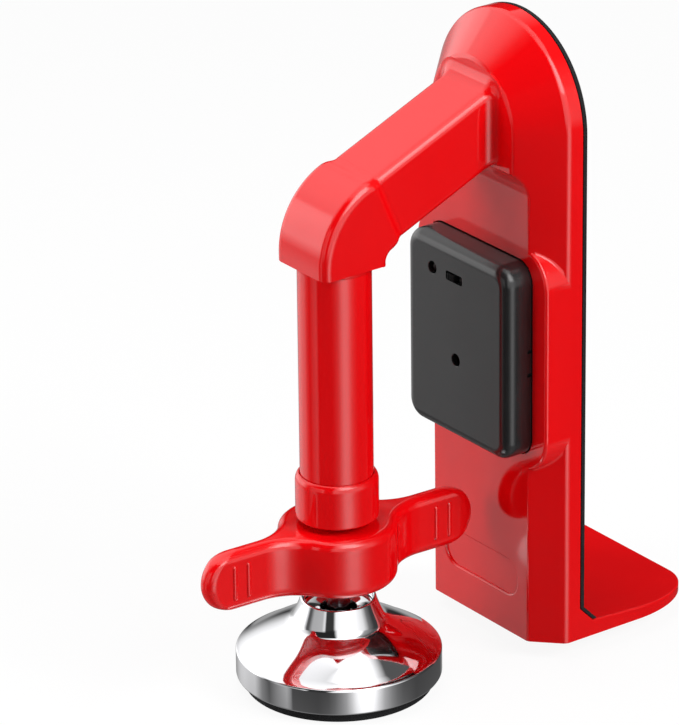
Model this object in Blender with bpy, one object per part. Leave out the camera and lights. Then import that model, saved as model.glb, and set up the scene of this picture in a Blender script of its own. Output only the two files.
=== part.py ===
"""Door stop alarm: a door plate with a foot under the door, an arm, a post and a screw-down foot.

Metres, +Z up, +X to the right of the plate seen from the room, +Y towards the door.
The working frame has y = 0 on the back of the red plate and z = 0 under it. One empty shifts it
so that the part's origin is under the middle of the whole object, on the floor.
"""
import math

import bmesh
import bpy
from mathutils import Matrix, Vector

for old in list(bpy.data.objects):
    bpy.data.objects.remove(old, do_unlink=True)

# General
GAP = 0.0003              # between pieces that touch
OVERRUN = 0.002           # how far a cutter runs past what it cuts
FACETS = 48               # around large round pieces
SMALL_FACETS = 24         # around small ones
CORNER_STEPS = 4          # facets on a rounded corner

# Door plate
PLATE_WIDTH = 0.0513
PLATE_HEIGHT = 0.1580
EDGE_BAND = 0.0041        # flat side of the plate behind the chamfer
EDGE_ROUND = 0.0008
FLAT_FRONT = 0.0109       # lower front face, from the back
CHAMFER_WIDTH = 0.00695   # on each side of the lower face
BOSS_FRONT = 0.0138       # upper front face, which carries the arm
BOSS_MARGIN = 0.0001      # how far it goes on below the arm
BLEND_RADIUS = 0.0077     # hollow curve from the lower face to the upper one

# Flange under the door
FLANGE_DEPTH = 0.0410
FLANGE_ROOT = 0.0043
FLANGE_TIP = 0.0020
FLANGE_CORNER_X = 0.0142
FLANGE_CORNER_Y = 0.0214
FLANGE_SMALL_CORNER = 0.0040
GUSSET_HEIGHT = 0.0040    # slope between the flange and the plate's back

# Door pad
PAD_FACE = 0.0015         # its face, from the plate's back

# Alarm pocket and its rim
RIM_ABOVE = 0.00355       # above and below the alarm
RIM_BELOW = 0.00395
RIM_CORNER = 0.0086
POCKET_DEPTH = 0.0046

# Shallow panel low on the plate
PANEL_MARGIN = 0.0043     # from the lower face's edges
PANEL_HEIGHT = 0.0095
PANEL_MID_Z = 0.0147
PANEL_DEPTH = 0.0005

# Arm
ARM_WIDTH = 0.0181
ARM_HEIGHT = 0.0184
ARM_RISE = 0.00085        # its centre line at the upper face, above the dome's centre
ARM_SLOPE = math.radians(23.3)
ARM_ROUND = 0.0018
ARM_ROOT_FILLET = 0.0012
TENON_SHOULDER = 0.00445  # step all round the tenon
TENON_LENGTH = 0.0065

# Elbow
ELBOW_REACH = 0.01070     # from the arm's end to the post axis, level
ELBOW_PROUD = 0.0009      # how far the elbow stands out around the arm
ELBOW_BLEND = 0.0018      # length of the soft step there
ELBOW_FRONT = 0.0101      # front face, from the post axis
ELBOW_REAR = 0.0090
ELBOW_SKIRT = 0.0019      # straight stretch under its inner corner
ELBOW_ROUND = 0.0023
ELBOW_STEPS = 10
ELBOW_BLEND_STEPS = 3

# Post
POST_RADIUS = 0.00895
POST_WALL = 0.00195
POST_SPIGOT_STEP = 0.00215
POST_SPIGOT_LENGTH = 0.0045
NECK_HEIGHT = 0.0012      # thin ring where the post meets the elbow
NECK_PROUD = 0.0004

# Collar at the foot of the post
COLLAR_PROUD = 0.0012
COLLAR_CLEARANCE = 0.0015  # above the handle
COLLAR_HEIGHT = 0.0113
COLLAR_LIP = 0.0008
COLLAR_ROUND = 0.0010
COLLAR_SHOULDER = 0.0018  # height of its rounded top

# Lead screw and its nut
SCREW_RADIUS = 0.0048
SCREW_MARGIN = 0.0066     # from its top to the elbow
SCREW_TAPER = 0.0010
SCREW_CLEARANCE = 0.0003
NUT_LENGTH = 0.0140
HEX_FLATS = 0.0130        # hexagon of the screw, held in the handle
HEX_HEIGHT = 0.0086
NECK_RADIUS = 0.0030
BALL_RADIUS = 0.0052

# Wing handle
HUB_RADIUS = 0.0145
HANDLE_RISE = 0.0052      # above the foot's cup
HANDLE_HEIGHT = 0.0152
WING_REACH = 0.0390
WING_CLEARANCE = 0.0048   # from a wing's end to the lower face
WING_THICKNESS = 0.0052
WING_FILLET = 0.0130
WING_TURN = math.radians(-2.2)   # where the wings stand at rest
HANDLE_ROUND = 0.0018
HANDLE_BOSS_RADIUS = 0.0066
RIB_SETBACK = 0.0077      # from the wing's end
RIB_PITCH = 0.0039
RIB_COUNT = 2
RIB_RADIUS = 0.0007
RIB_PROUD = 0.0004
RIB_MARGIN = 0.00295      # to the wing's upper and lower faces
LEVEL_SHARES = (-0.45, 0.0, 0.45)   # heights where the wing's round end is drawn

# Swivel in the foot
SHELL_WALL = 0.0009
LINER_WALL = 0.0009
SHELL_TOP_ANGLE = math.radians(35)
LINER_TOP_ANGLE = math.radians(20)
RETAINER_HEIGHT = 0.0011
RETAINER_HOLE = 0.0058
RETAINER_RISE = 0.0062    # its underside over the ball's centre
GROOVE_DEPTH = 0.0005

# Foot
FOOT_RADIUS = 0.0252
FOOT_RIM_TOP_Z = 0.0052
FOOT_RIM_BOTTOM_Z = -0.0016
FOOT_CREASE_STEP = 0.0028  # from the cup to the crease
FOOT_CREASE_Z = 0.0121
FOOT_FLOOR = 0.0018       # under the ball's seat
CUP_WALL = 0.0014
CUP_RISE = 0.0094         # its top, above the ball's centre
CUP_LIP = 0.0009
FOOT_DROP = 0.0044        # rubber's underside, below the plate's
RUBBER_MARGIN = 0.0020    # to the foot's edge
RUBBER_SEAT = 0.0010      # how deep the rubber sits in the foot
RUBBER_BAND = 0.0072      # width of the ring that stands on the floor
RUBBER_HOLLOW_DEPTH = 0.0006
SMALL_ROUND = 0.0005

# Alarm case
ALARM_WIDTH = 0.0402
ALARM_HEIGHT = 0.0506
ALARM_PLACE_SHARE = 0.3276  # of the free height between the handle and the arm, below the alarm
ALARM_PROUD = 0.0077      # of the lower face
ALARM_CORNER = 0.0052
ALARM_EDGE = 0.0033
CASE_WALL = 0.0014
CASE_LEDGE = 0.0016
TAPE_THICKNESS = 0.0008
COVER_THICKNESS = 0.0012
BOARD_THICKNESS = 0.0010
STRIP_THICKNESS = 0.0003
CELL_THICKNESS = 0.00305  # button cell 11.6 x 3.05 mm
CELL_RADIUS = 0.0058
CELL_MARGIN = 0.0005      # to the case's wall
LED_RADIUS = 0.0014
LED_X = -0.0092
LED_DOWN = 0.0080         # from the alarm's top
SLOT_X = -0.0006
SLOT_DOWN = 0.0081
SLOT_WIDTH = 0.0064
SLOT_HEIGHT = 0.0024
KNOB_WIDTH = 0.0026
KNOB_PROUD = 0.0004
SWITCH_TRAVEL = 0.0020
SOUND_HOLE = 0.0017
SOUND_DOWN = 0.0041       # from the alarm's middle
PIEZO_RADIUS = 0.0100
PIEZO_THICKNESS = 0.0005
PIEZO_RING_WALL = 0.0008
SENSOR_RADIUS = 0.0016
SENSOR_LENGTH = 0.0120
SENSOR_DOWN = 0.0145
SNAP_PITCH = 0.0061
SNAP_WIDTH = 0.0014
SNAP_HEIGHT = 0.0009

# Worked out from the sizes above
SHELL_INNER = BALL_RADIUS + GAP
SHELL_OUTER = SHELL_INNER + SHELL_WALL
LINER_INNER = SHELL_OUTER + GAP
LINER_OUTER = LINER_INNER + LINER_WALL
SEAT_RADIUS = LINER_OUTER + GAP
BALL_Z = FOOT_RIM_BOTTOM_Z + RUBBER_SEAT + FOOT_FLOOR + SEAT_RADIUS
CUP_RADIUS = SEAT_RADIUS + CUP_WALL
CUP_TOP_Z = BALL_Z + CUP_RISE
FOOT_CREASE_RADIUS = CUP_RADIUS + FOOT_CREASE_STEP
RUBBER_RADIUS = FOOT_RADIUS - RUBBER_MARGIN
RUBBER_HOLLOW = RUBBER_RADIUS - RUBBER_BAND
HANDLE_BOTTOM_Z = CUP_TOP_Z + HANDLE_RISE
HANDLE_TOP_Z = HANDLE_BOTTOM_Z + HANDLE_HEIGHT
RIB_HEIGHT = HANDLE_HEIGHT - 2 * RIB_MARGIN
COLLAR_BOTTOM_Z = HANDLE_TOP_Z + COLLAR_CLEARANCE
COLLAR_TOP_Z = COLLAR_BOTTOM_Z + COLLAR_HEIGHT
COLLAR_RADIUS = POST_RADIUS + COLLAR_PROUD
POST_BORE = POST_RADIUS - POST_WALL
POST_SPIGOT_RADIUS = POST_RADIUS - POST_SPIGOT_STEP
POST_OFFSET = FLAT_FRONT + WING_CLEARANCE + WING_REACH
ORIGIN_Y = (POST_OFFSET + WING_REACH - FLANGE_DEPTH) / 2
HALF = PLATE_WIDTH / 2
ARCH_Z = PLATE_HEIGHT - HALF
FLAT_HALF = HALF - CHAMFER_WIDTH
CHAMFER = CHAMFER_WIDTH / (FLAT_FRONT - EDGE_BAND)
BOSS_HALF = HALF - CHAMFER * (BOSS_FRONT - EDGE_BAND)
PANEL_WIDTH = 2 * (FLAT_HALF - PANEL_MARGIN)
ARM_ROOT_Z = ARCH_Z + ARM_RISE
ARM_LENGTH = (POST_OFFSET - ELBOW_REACH - BOSS_FRONT) / math.cos(ARM_SLOPE)
TENON_HALF_WIDTH = ARM_WIDTH / 2 - TENON_SHOULDER
TENON_HALF_HEIGHT = ARM_HEIGHT / 2 - TENON_SHOULDER
ELBOW_HALF = ARM_HEIGHT / 2 + ELBOW_PROUD
ELBOW_BOTTOM_Z = (ARM_ROOT_Z - (POST_OFFSET - ELBOW_REAR - BOSS_FRONT) * math.tan(ARM_SLOPE)
                  - ELBOW_HALF / math.cos(ARM_SLOPE) - ELBOW_SKIRT)
SCREW_TOP_Z = ELBOW_BOTTOM_Z - SCREW_MARGIN
BOSS_LOW_Z = ARM_ROOT_Z - ARM_HEIGHT / 2 / math.cos(ARM_SLOPE) - BOSS_MARGIN
ALARM_LOW_Z = HANDLE_TOP_Z + ALARM_PLACE_SHARE * (BOSS_LOW_Z - HANDLE_TOP_Z - ALARM_HEIGHT)
ALARM_TOP_Z = ALARM_LOW_Z + ALARM_HEIGHT
ALARM_MID_Z = ALARM_LOW_Z + ALARM_HEIGHT / 2
ALARM_FRONT = FLAT_FRONT + ALARM_PROUD
RIM_HEIGHT = ALARM_HEIGHT + RIM_ABOVE + RIM_BELOW
RIM_MID_Z = ALARM_LOW_Z - RIM_BELOW + RIM_HEIGHT / 2
LED_Z = ALARM_TOP_Z - LED_DOWN
SLOT_Z = ALARM_TOP_Z - SLOT_DOWN
SENSOR_Z = ALARM_TOP_Z - SENSOR_DOWN
SOUND_Z = ALARM_MID_Z - SOUND_DOWN
CELL_MID_Z = ALARM_LOW_Z + CASE_WALL + CELL_MARGIN + CELL_RADIUS
CELL_PITCH = 2 * CELL_RADIUS + GAP
POCKET_FLOOR = FLAT_FRONT - POCKET_DEPTH
TAPE_BACK = POCKET_FLOOR + GAP
CASE_BACK = TAPE_BACK + TAPE_THICKNESS + GAP
COVER_FRONT = CASE_BACK + COVER_THICKNESS
STRIP_BACK = COVER_FRONT + GAP
CELL_BACK = STRIP_BACK + STRIP_THICKNESS + GAP
STRIP_FRONT = CELL_BACK + CELL_THICKNESS + GAP
BOARD_BACK = STRIP_FRONT + STRIP_THICKNESS + GAP
LEDGE_BACK = BOARD_BACK + BOARD_THICKNESS + GAP
CASE_INSIDE = ALARM_FRONT - CASE_WALL


def material(name, colour, roughness, metallic=0.0):
    """One Principled material."""
    mat = bpy.data.materials.new(name)
    mat.use_nodes = True
    shader = mat.node_tree.nodes["Principled BSDF"]
    shader.inputs["Base Color"].default_value = (*colour, 1.0)
    shader.inputs["Roughness"].default_value = roughness
    shader.inputs["Metallic"].default_value = metallic
    mat.diffuse_color = (*colour, 1.0)
    return mat


RED = (0.75, 0.012, 0.014)
BLACK = (0.05, 0.05, 0.05)
STEEL = (0.62, 0.62, 0.64)


def red(name):
    return material(name, RED, 0.12)


def black(name, roughness=0.45):
    return material(name, BLACK, roughness)


def steel(name, roughness=0.25):
    return material(name, STEEL, roughness, 1.0)


def empty(name, parent, location):
    item = bpy.data.objects.new(name, None)
    item.empty_display_size = SMALL_ROUND
    item.parent = parent
    item.location = location
    bpy.context.collection.objects.link(item)
    return item


def make(name, bm, mat, parent, location=(0, 0, 0), smooth=True):
    """Turn a bmesh into a named object with its own material."""
    bmesh.ops.recalc_face_normals(bm, faces=bm.faces)
    mesh = bpy.data.meshes.new(name)
    bm.to_mesh(mesh)
    bm.free()
    item = bpy.data.objects.new(name, mesh)
    if mat:
        mesh.materials.append(mat)
    if smooth:
        mesh.shade_smooth()
        mesh.set_sharp_from_angle(angle=math.radians(30))
    item.parent = parent
    item.location = location
    bpy.context.collection.objects.link(item)
    return item


def cutter(name, bm, parent, location=(0, 0, 0)):
    item = make(name, bm, None, parent, location, smooth=False)
    item.hide_render = True
    item.display_type = 'WIRE'
    return item


def combine(item, other, operation):
    mod = item.modifiers.new(operation.lower() + "_" + other.name, 'BOOLEAN')
    mod.operation = operation
    mod.solver = 'EXACT'
    mod.object = other


def cut(item, other):
    combine(item, other, 'DIFFERENCE')


def join(item, other):
    combine(item, other, 'UNION')


def loft(rings):
    """A closed solid through rings with the same number of points."""
    bm = bmesh.new()
    rows = [[bm.verts.new(p) for p in ring] for ring in rings]
    count = len(rows[0])
    for low, high in zip(rows, rows[1:]):
        for i in range(count):
            j = (i + 1) % count
            bm.faces.new((low[i], low[j], high[j], high[i]))
    bm.faces.new(list(reversed(rows[0])))
    bm.faces.new(rows[-1])
    return bm


def along_y(outline, near, far):
    """Extrude an (x, z) outline from y = near to y = far."""
    return loft([[(x, y, z) for x, z in outline] for y in (near, far)])


def along_z(outline, low, high):
    return loft([[(x, y, z) for x, y in outline] for z in (low, high)])


def along_x(outline, half):
    """Extrude a (y, z) outline to both sides of x = 0."""
    return loft([[(x, y, z) for y, z in outline] for x in (-half, half)])


def turned(profile, facets=FACETS):
    """Spin a closed (r, z) profile about the Z axis."""
    bm = bmesh.new()
    columns = []
    for i in range(facets):
        a = 2 * math.pi * i / facets
        columns.append([None if r <= 0 else bm.verts.new((r * math.cos(a), r * math.sin(a), z))
                        for r, z in profile])
    poles = [bm.verts.new((0, 0, z)) if r <= 0 else None for r, z in profile]
    count = len(profile)
    for i in range(facets):
        one, two = columns[i], columns[(i + 1) % facets]
        for k in range(count):
            m = (k + 1) % count
            corners = [one[k] or poles[k], two[k] or poles[k], two[m] or poles[m], one[m] or poles[m]]
            unique = list(dict.fromkeys(corners))
            if len(unique) > 2:
                bm.faces.new(unique)
    return bm


def arc(centre_a, centre_b, radius, start, end, steps):
    """Points on an arc, angles in degrees."""
    out = []
    for i in range(steps + 1):
        t = math.radians(start + (end - start) * i / steps)
        out.append((centre_a + radius * math.cos(t), centre_b + radius * math.sin(t)))
    return out


def rounded_box(half_a, half_b, radius, mid_a=0.0, mid_b=0.0, steps=CORNER_STEPS):
    """Outline of a rectangle with round corners."""
    out = []
    for sa, sb, start in ((1, 1, 0), (-1, 1, 90), (-1, -1, 180), (1, -1, 270)):
        out += arc(mid_a + sa * (half_a - radius), mid_b + sb * (half_b - radius), radius,
                   start, start + 90, steps)
    return out


def arch(half, steps=28):
    """Plate outline at a given half width: straight sides and a round top."""
    return [(-half, 0)] + [(half, 0)] + arc(0, ARCH_Z, half, 0, 180, steps)


def edge_ease(radius, steps):
    """(inset, depth) pairs round a quarter edge, from the side to the face."""
    out = []
    for i in range(steps + 1):
        t = math.pi / 2 * i / steps
        out.append((radius * (1 - math.cos(t)), radius * math.sin(t)))
    return out


def disc(radius, low, high, facets=FACETS):
    return turned([(0, low), (radius, low), (radius, high), (0, high)], facets)


def across(bm):
    """Lay a turned piece down so that its axis runs along -Y, its +Z end to the front."""
    bmesh.ops.rotate(bm, verts=bm.verts, cent=(0, 0, 0), matrix=Matrix.Rotation(math.pi / 2, 3, 'X'))
    return bm


def sideways(bm):
    """Lay a turned piece down along X."""
    bmesh.ops.rotate(bm, verts=bm.verts, cent=(0, 0, 0), matrix=Matrix.Rotation(math.pi / 2, 3, 'Y'))
    return bm


def chamfer_profile():
    """(half width, depth from the back) of the plate's edge, with its two edges eased."""
    turn = math.atan(CHAMFER)
    tangent = EDGE_ROUND * math.tan((math.pi / 2 - math.atan(1 / CHAMFER)) / 2)
    points = [(HALF, 0), (HALF, EDGE_BAND - tangent)]
    for i in (1, 2):
        a = turn * i / 3
        points.append((HALF - EDGE_ROUND * (1 - math.cos(a)),
                       EDGE_BAND - tangent + EDGE_ROUND * math.sin(a)))
    points.append((HALF - tangent * math.sin(turn), EDGE_BAND + tangent * math.cos(turn)))
    points.append((BOSS_HALF + tangent * math.sin(turn), BOSS_FRONT - tangent * math.cos(turn)))
    points.append((BOSS_HALF + (CHAMFER - 1) * tangent / 2, BOSS_FRONT - tangent / 4))
    points.append((BOSS_HALF - tangent / 2, BOSS_FRONT))
    return points


def arm_rings():
    """Rings of the arm, from inside the upper face to the elbow, in the working frame."""
    ahead = Vector((0, -math.cos(ARM_SLOPE), -math.sin(ARM_SLOPE)))
    half_w = ARM_WIDTH / 2
    half_h = ARM_HEIGHT / 2 / math.cos(ARM_SLOPE)

    def ring(depth, grow):
        mid_z = ARM_ROOT_Z - (depth - BOSS_FRONT) * math.tan(ARM_SLOPE)
        return [Vector((x, -depth, z)) for x, z in
                rounded_box(half_w + grow, half_h + grow, ARM_ROUND, 0, mid_z)]

    rings = [ring(FLAT_FRONT, ARM_ROOT_FILLET)]
    for i in range(4):
        t = math.pi / 2 * i / 3
        rings.append(ring(BOSS_FRONT + ARM_ROOT_FILLET * (1 - math.cos(t)),
                          ARM_ROOT_FILLET * (1 - math.sin(t))))
    start = Vector((0, -BOSS_FRONT, ARM_ROOT_Z))
    stop = start + ahead * ARM_LENGTH
    rings.append([p + ahead * ((stop - p).dot(ahead)) for p in rings[-1]])
    return rings, stop, ahead


def box_along(centre, ahead, half_w, half_h, radius, near, far):
    """A rounded bar along a direction in the YZ plane."""
    up = Vector((1, 0, 0)).cross(ahead)
    rings = []
    for d in (near, far):
        rings.append([centre + ahead * d + Vector((1, 0, 0)) * a + up * b
                      for a, b in rounded_box(half_w, half_h, radius)])
    return loft(rings)


def elbow_rings():
    """Rings of the bend, from the arm to the post: each joins an outer and an inner point."""
    _, stop, ahead = arm_rings()
    up = Vector((1, 0, 0)).cross(ahead)
    if up.z < 0:
        up = -up
    half_h = ELBOW_HALF
    face = stop + ahead * (GAP + ELBOW_BLEND)
    turn = math.pi / 2 - ARM_SLOPE
    pairs = []
    columns = []
    for side, wall in ((1, POST_OFFSET + ELBOW_FRONT), (-1, POST_OFFSET - ELBOW_REAR)):
        first = face + up * half_h * side
        corner_z = first.z - (wall + first.y) * math.tan(ARM_SLOPE)
        tangent = corner_z - ELBOW_BOTTOM_Z
        radius = tangent / math.tan(turn / 2)
        mid = (-wall + radius, ELBOW_BOTTOM_Z)
        points = [first]
        for i in range(ELBOW_STEPS + 1):
            a = math.pi / 2 + ARM_SLOPE + turn * i / ELBOW_STEPS
            points.append(Vector((0, mid[0] + radius * math.cos(a), mid[1] + radius * math.sin(a))))
        columns.append(points)
    for i in range(ELBOW_BLEND_STEPS):
        share = i / ELBOW_BLEND_STEPS
        grow = ELBOW_PROUD * (1 - math.cos(math.pi * share)) / 2
        middle = stop + ahead * (GAP + ELBOW_BLEND * share)
        pairs.append([middle + Vector((1, 0, 0)) * a + up * b for a, b in
                      rounded_box(ARM_WIDTH / 2 + grow, ARM_HEIGHT / 2 + grow,
                                  ARM_ROUND + (ELBOW_ROUND - ARM_ROUND) * share)])
    for outer, inner in zip(*columns):
        middle = (outer + inner) / 2
        reach = (outer - inner) / 2
        pairs.append([middle + Vector((1, 0, 0)) * a + reach.normalized() * b
                      for a, b in rounded_box(ARM_WIDTH / 2 + ELBOW_PROUD, reach.length, ELBOW_ROUND)])
    return pairs


def turned_spot(x, y, z):
    """A point of the handle, turned with it about the post's axis."""
    return (x * math.cos(WING_TURN) - y * math.sin(WING_TURN),
            x * math.sin(WING_TURN) + y * math.cos(WING_TURN), z)


def handle_ring(z, inset, reach):
    """Plan of the handle at one height: hub, two wings and the hollow fillets between them."""
    hub = HUB_RADIUS - inset
    half_t = WING_THICKNESS / 2 - inset
    fillet = WING_FILLET + inset
    cx = half_t + fillet
    cy = math.sqrt((hub + fillet) ** 2 - cx ** 2)
    lean = math.degrees(math.atan2(cy, cx))
    quarter = arc(0, 0, hub, 0, lean, 6)[:-1]
    quarter += [(cx + fillet * math.cos(t), cy + fillet * math.sin(t)) for t in
                [math.radians(180 + lean - lean * i / 7) for i in range(8)]]
    quarter += arc(0, reach - half_t, half_t, 0, 90, 4)
    other = [(-x, y) for x, y in reversed(quarter[:-1])]
    top = quarter + other[:-1]
    plan = top + [(-x, -y) for x, y in top]
    return [turned_spot(x, y, z) for x, y in plan]


# The part's frame and the joint empties
base = empty("part_origin", None, (0, ORIGIN_Y, FOOT_DROP))
post_axis = empty("post_axis", base, (0, -POST_OFFSET, 0))
swivel_axis = empty("swivel_axis", post_axis, (0, 0, BALL_Z))
switch_axis = empty("switch_axis", base, (SLOT_X, 0, SLOT_Z))


def build_plate():
    rings = [[(x, -depth, z) for x, z in arch(half)] for half, depth in chamfer_profile()]
    plate = make("door_plate", loft(rings), red("door_plate"), base)

    # the lower face, and its hollow curve up to the arm's face
    rise = BOSS_FRONT - FLAT_FRONT
    sweep = math.degrees(math.acos((BLEND_RADIUS - rise) / BLEND_RADIUS))
    low_z = BOSS_LOW_Z - BLEND_RADIUS * math.sin(math.radians(sweep))
    curve = [(-FLAT_FRONT - BLEND_RADIUS + BLEND_RADIUS * math.cos(math.radians(sweep * i / 6)),
              low_z + BLEND_RADIUS * math.sin(math.radians(sweep * i / 6))) for i in range(7)]
    outline = [(-BOSS_FRONT - OVERRUN, -OVERRUN), (-FLAT_FRONT, -OVERRUN)] + curve
    outline += [(-BOSS_FRONT - OVERRUN, BOSS_LOW_Z + OVERRUN)]
    cut(plate, cutter("front_cut", along_x(outline, HALF + OVERRUN), base))

    # rim of the alarm pocket, level with the lower face
    rings = [rounded_ring(HALF, RIM_HEIGHT / 2, RIM_CORNER, RIM_MID_Z, EDGE_BAND / 2)]
    for inset, depth in edge_ease(EDGE_ROUND, 3):
        rings.append(rounded_ring(HALF - inset, RIM_HEIGHT / 2 - inset, RIM_CORNER - inset,
                                  RIM_MID_Z, FLAT_FRONT - EDGE_ROUND + depth))
    join(plate, cutter("pocket_rim", loft(rings), base))

    # arm
    rings, stop, ahead = arm_rings()
    join(plate, cutter("arm_bar", loft(rings), base))
    tenon = box_along(stop, ahead, TENON_HALF_WIDTH, TENON_HALF_HEIGHT, ARM_ROUND, -OVERRUN,
                      TENON_LENGTH)
    join(plate, cutter("arm_tenon", tenon, base))

    # flange: flat below, thinner towards its tip
    plan = [(-HALF, -OVERRUN), (HALF, -OVERRUN)]
    plan += [(HALF - FLANGE_CORNER_X + x * FLANGE_CORNER_X, FLANGE_DEPTH - FLANGE_CORNER_Y
              + y * FLANGE_CORNER_Y) for x, y in arc(0, 0, 1, 0, 90, 10)]
    plan += arc(-HALF + FLANGE_SMALL_CORNER, FLANGE_DEPTH - FLANGE_SMALL_CORNER, FLANGE_SMALL_CORNER,
                90, 180, 4)
    fall = (FLANGE_ROOT - FLANGE_TIP) / FLANGE_DEPTH
    flange = loft([[(x, y, 0) for x, y in plan],
                   [(x, y, FLANGE_ROOT - fall * max(y, 0)) for x, y in plan]])
    join(plate, cutter("flange", flange, base))
    slope = [(-OVERRUN, FLANGE_ROOT / 2), (0, FLANGE_ROOT / 2), (GUSSET_HEIGHT, FLANGE_ROOT / 2),
             (GUSSET_HEIGHT, FLANGE_ROOT - fall * GUSSET_HEIGHT), (0, FLANGE_ROOT + GUSSET_HEIGHT),
             (-OVERRUN, FLANGE_ROOT + GUSSET_HEIGHT)]
    join(plate, cutter("gusset", along_x(slope, HALF), base))

    # pocket for the alarm, and the shallow bare panel
    pocket = rounded_box(ALARM_WIDTH / 2 + GAP, ALARM_HEIGHT / 2 + GAP, ALARM_CORNER + GAP,
                         0, ALARM_MID_Z)
    cut(plate, cutter("pocket", along_y(pocket, -FLAT_FRONT - OVERRUN, -POCKET_FLOOR), base))
    panel = rounded_box(PANEL_WIDTH / 2, PANEL_HEIGHT / 2, PANEL_HEIGHT / 2 - SMALL_ROUND,
                        0, PANEL_MID_Z, 6)
    cut(plate, cutter("panel", along_y(panel, -FLAT_FRONT - OVERRUN, -FLAT_FRONT + PANEL_DEPTH), base))
    return plate


def rounded_ring(half_a, half_b, radius, mid_z, depth, steps=6):
    return [(x, -depth, z) for x, z in rounded_box(half_a, half_b, radius, 0, mid_z, steps)]


def build_pad():
    """The pad lies on the plate's back and turns down over the gusset."""
    outline = arch(HALF)
    fold = FLANGE_ROOT + GUSSET_HEIGHT
    raised = [(x, max(z, fold)) for x, z in outline]
    pad = make("door_pad", along_y(raised, GAP, PAD_FACE), black("door_pad", 0.8), base)
    run = PAD_FACE / math.sqrt(2)
    strip = [(GAP, fold + GAP), (PAD_FACE, fold + run + GAP), (PAD_FACE, fold + run / 2 + GAP),
             (GUSSET_HEIGHT + run / 2, FLANGE_ROOT + run), (GUSSET_HEIGHT, FLANGE_ROOT + GAP),
             (GAP * 2, fold)]
    join(pad, cutter("pad_fold", along_x(strip, HALF), base))
    return pad


def build_elbow():
    elbow = make("elbow_housing", loft(elbow_rings()), red("elbow_housing"), base)
    _, stop, ahead = arm_rings()
    socket = box_along(stop, ahead, TENON_HALF_WIDTH + GAP, TENON_HALF_HEIGHT + GAP, ARM_ROUND,
                       -OVERRUN, TENON_LENGTH + GAP)
    cut(elbow, cutter("arm_socket", socket, base))
    well = disc(POST_SPIGOT_RADIUS + GAP, ELBOW_BOTTOM_Z - OVERRUN,
                ELBOW_BOTTOM_Z + POST_SPIGOT_LENGTH + GAP)
    cut(elbow, cutter("post_socket", well, post_axis))
    return elbow


def build_post():
    shoulder = ELBOW_BOTTOM_Z - GAP
    spigot = ELBOW_BOTTOM_Z + POST_SPIGOT_LENGTH
    low = COLLAR_BOTTOM_Z + COLLAR_LIP + GAP
    profile = [(POST_BORE, low), (POST_RADIUS, low), (POST_RADIUS, shoulder - NECK_HEIGHT),
               (POST_RADIUS + NECK_PROUD, shoulder - NECK_HEIGHT + NECK_PROUD),
               (POST_RADIUS + NECK_PROUD, shoulder), (POST_SPIGOT_RADIUS, shoulder),
               (POST_SPIGOT_RADIUS, spigot), (0, spigot), (0, shoulder - NECK_HEIGHT),
               (POST_BORE - NECK_HEIGHT, shoulder - NECK_HEIGHT), (POST_BORE, shoulder - 2 * NECK_HEIGHT)]
    make("post_tube", turned(profile), red("post_tube"), post_axis)

    hole = POST_BORE + GAP
    bore = POST_RADIUS + GAP
    top = COLLAR_TOP_Z
    profile = [(hole, COLLAR_BOTTOM_Z), (COLLAR_RADIUS - SMALL_ROUND, COLLAR_BOTTOM_Z),
               (COLLAR_RADIUS, COLLAR_BOTTOM_Z + SMALL_ROUND), (COLLAR_RADIUS, top - COLLAR_SHOULDER)]
    profile += [(COLLAR_RADIUS - COLLAR_ROUND * (1 - math.cos(t)), top - COLLAR_SHOULDER * (1 - math.sin(t)))
                for t in (math.radians(a) for a in (25, 50, 75))]
    profile += [(bore, top), (bore, COLLAR_BOTTOM_Z + COLLAR_LIP), (hole, COLLAR_BOTTOM_Z + COLLAR_LIP)]
    make("post_collar", turned(profile), red("post_collar"), post_axis)

    nut = POST_BORE - GAP
    inner = SCREW_RADIUS + SCREW_CLEARANCE
    profile = [(inner, COLLAR_BOTTOM_Z), (nut, COLLAR_BOTTOM_Z), (nut, COLLAR_BOTTOM_Z + NUT_LENGTH),
               (inner, COLLAR_BOTTOM_Z + NUT_LENGTH)]
    make("drive_nut", turned(profile), steel("drive_nut"), post_axis)


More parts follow.
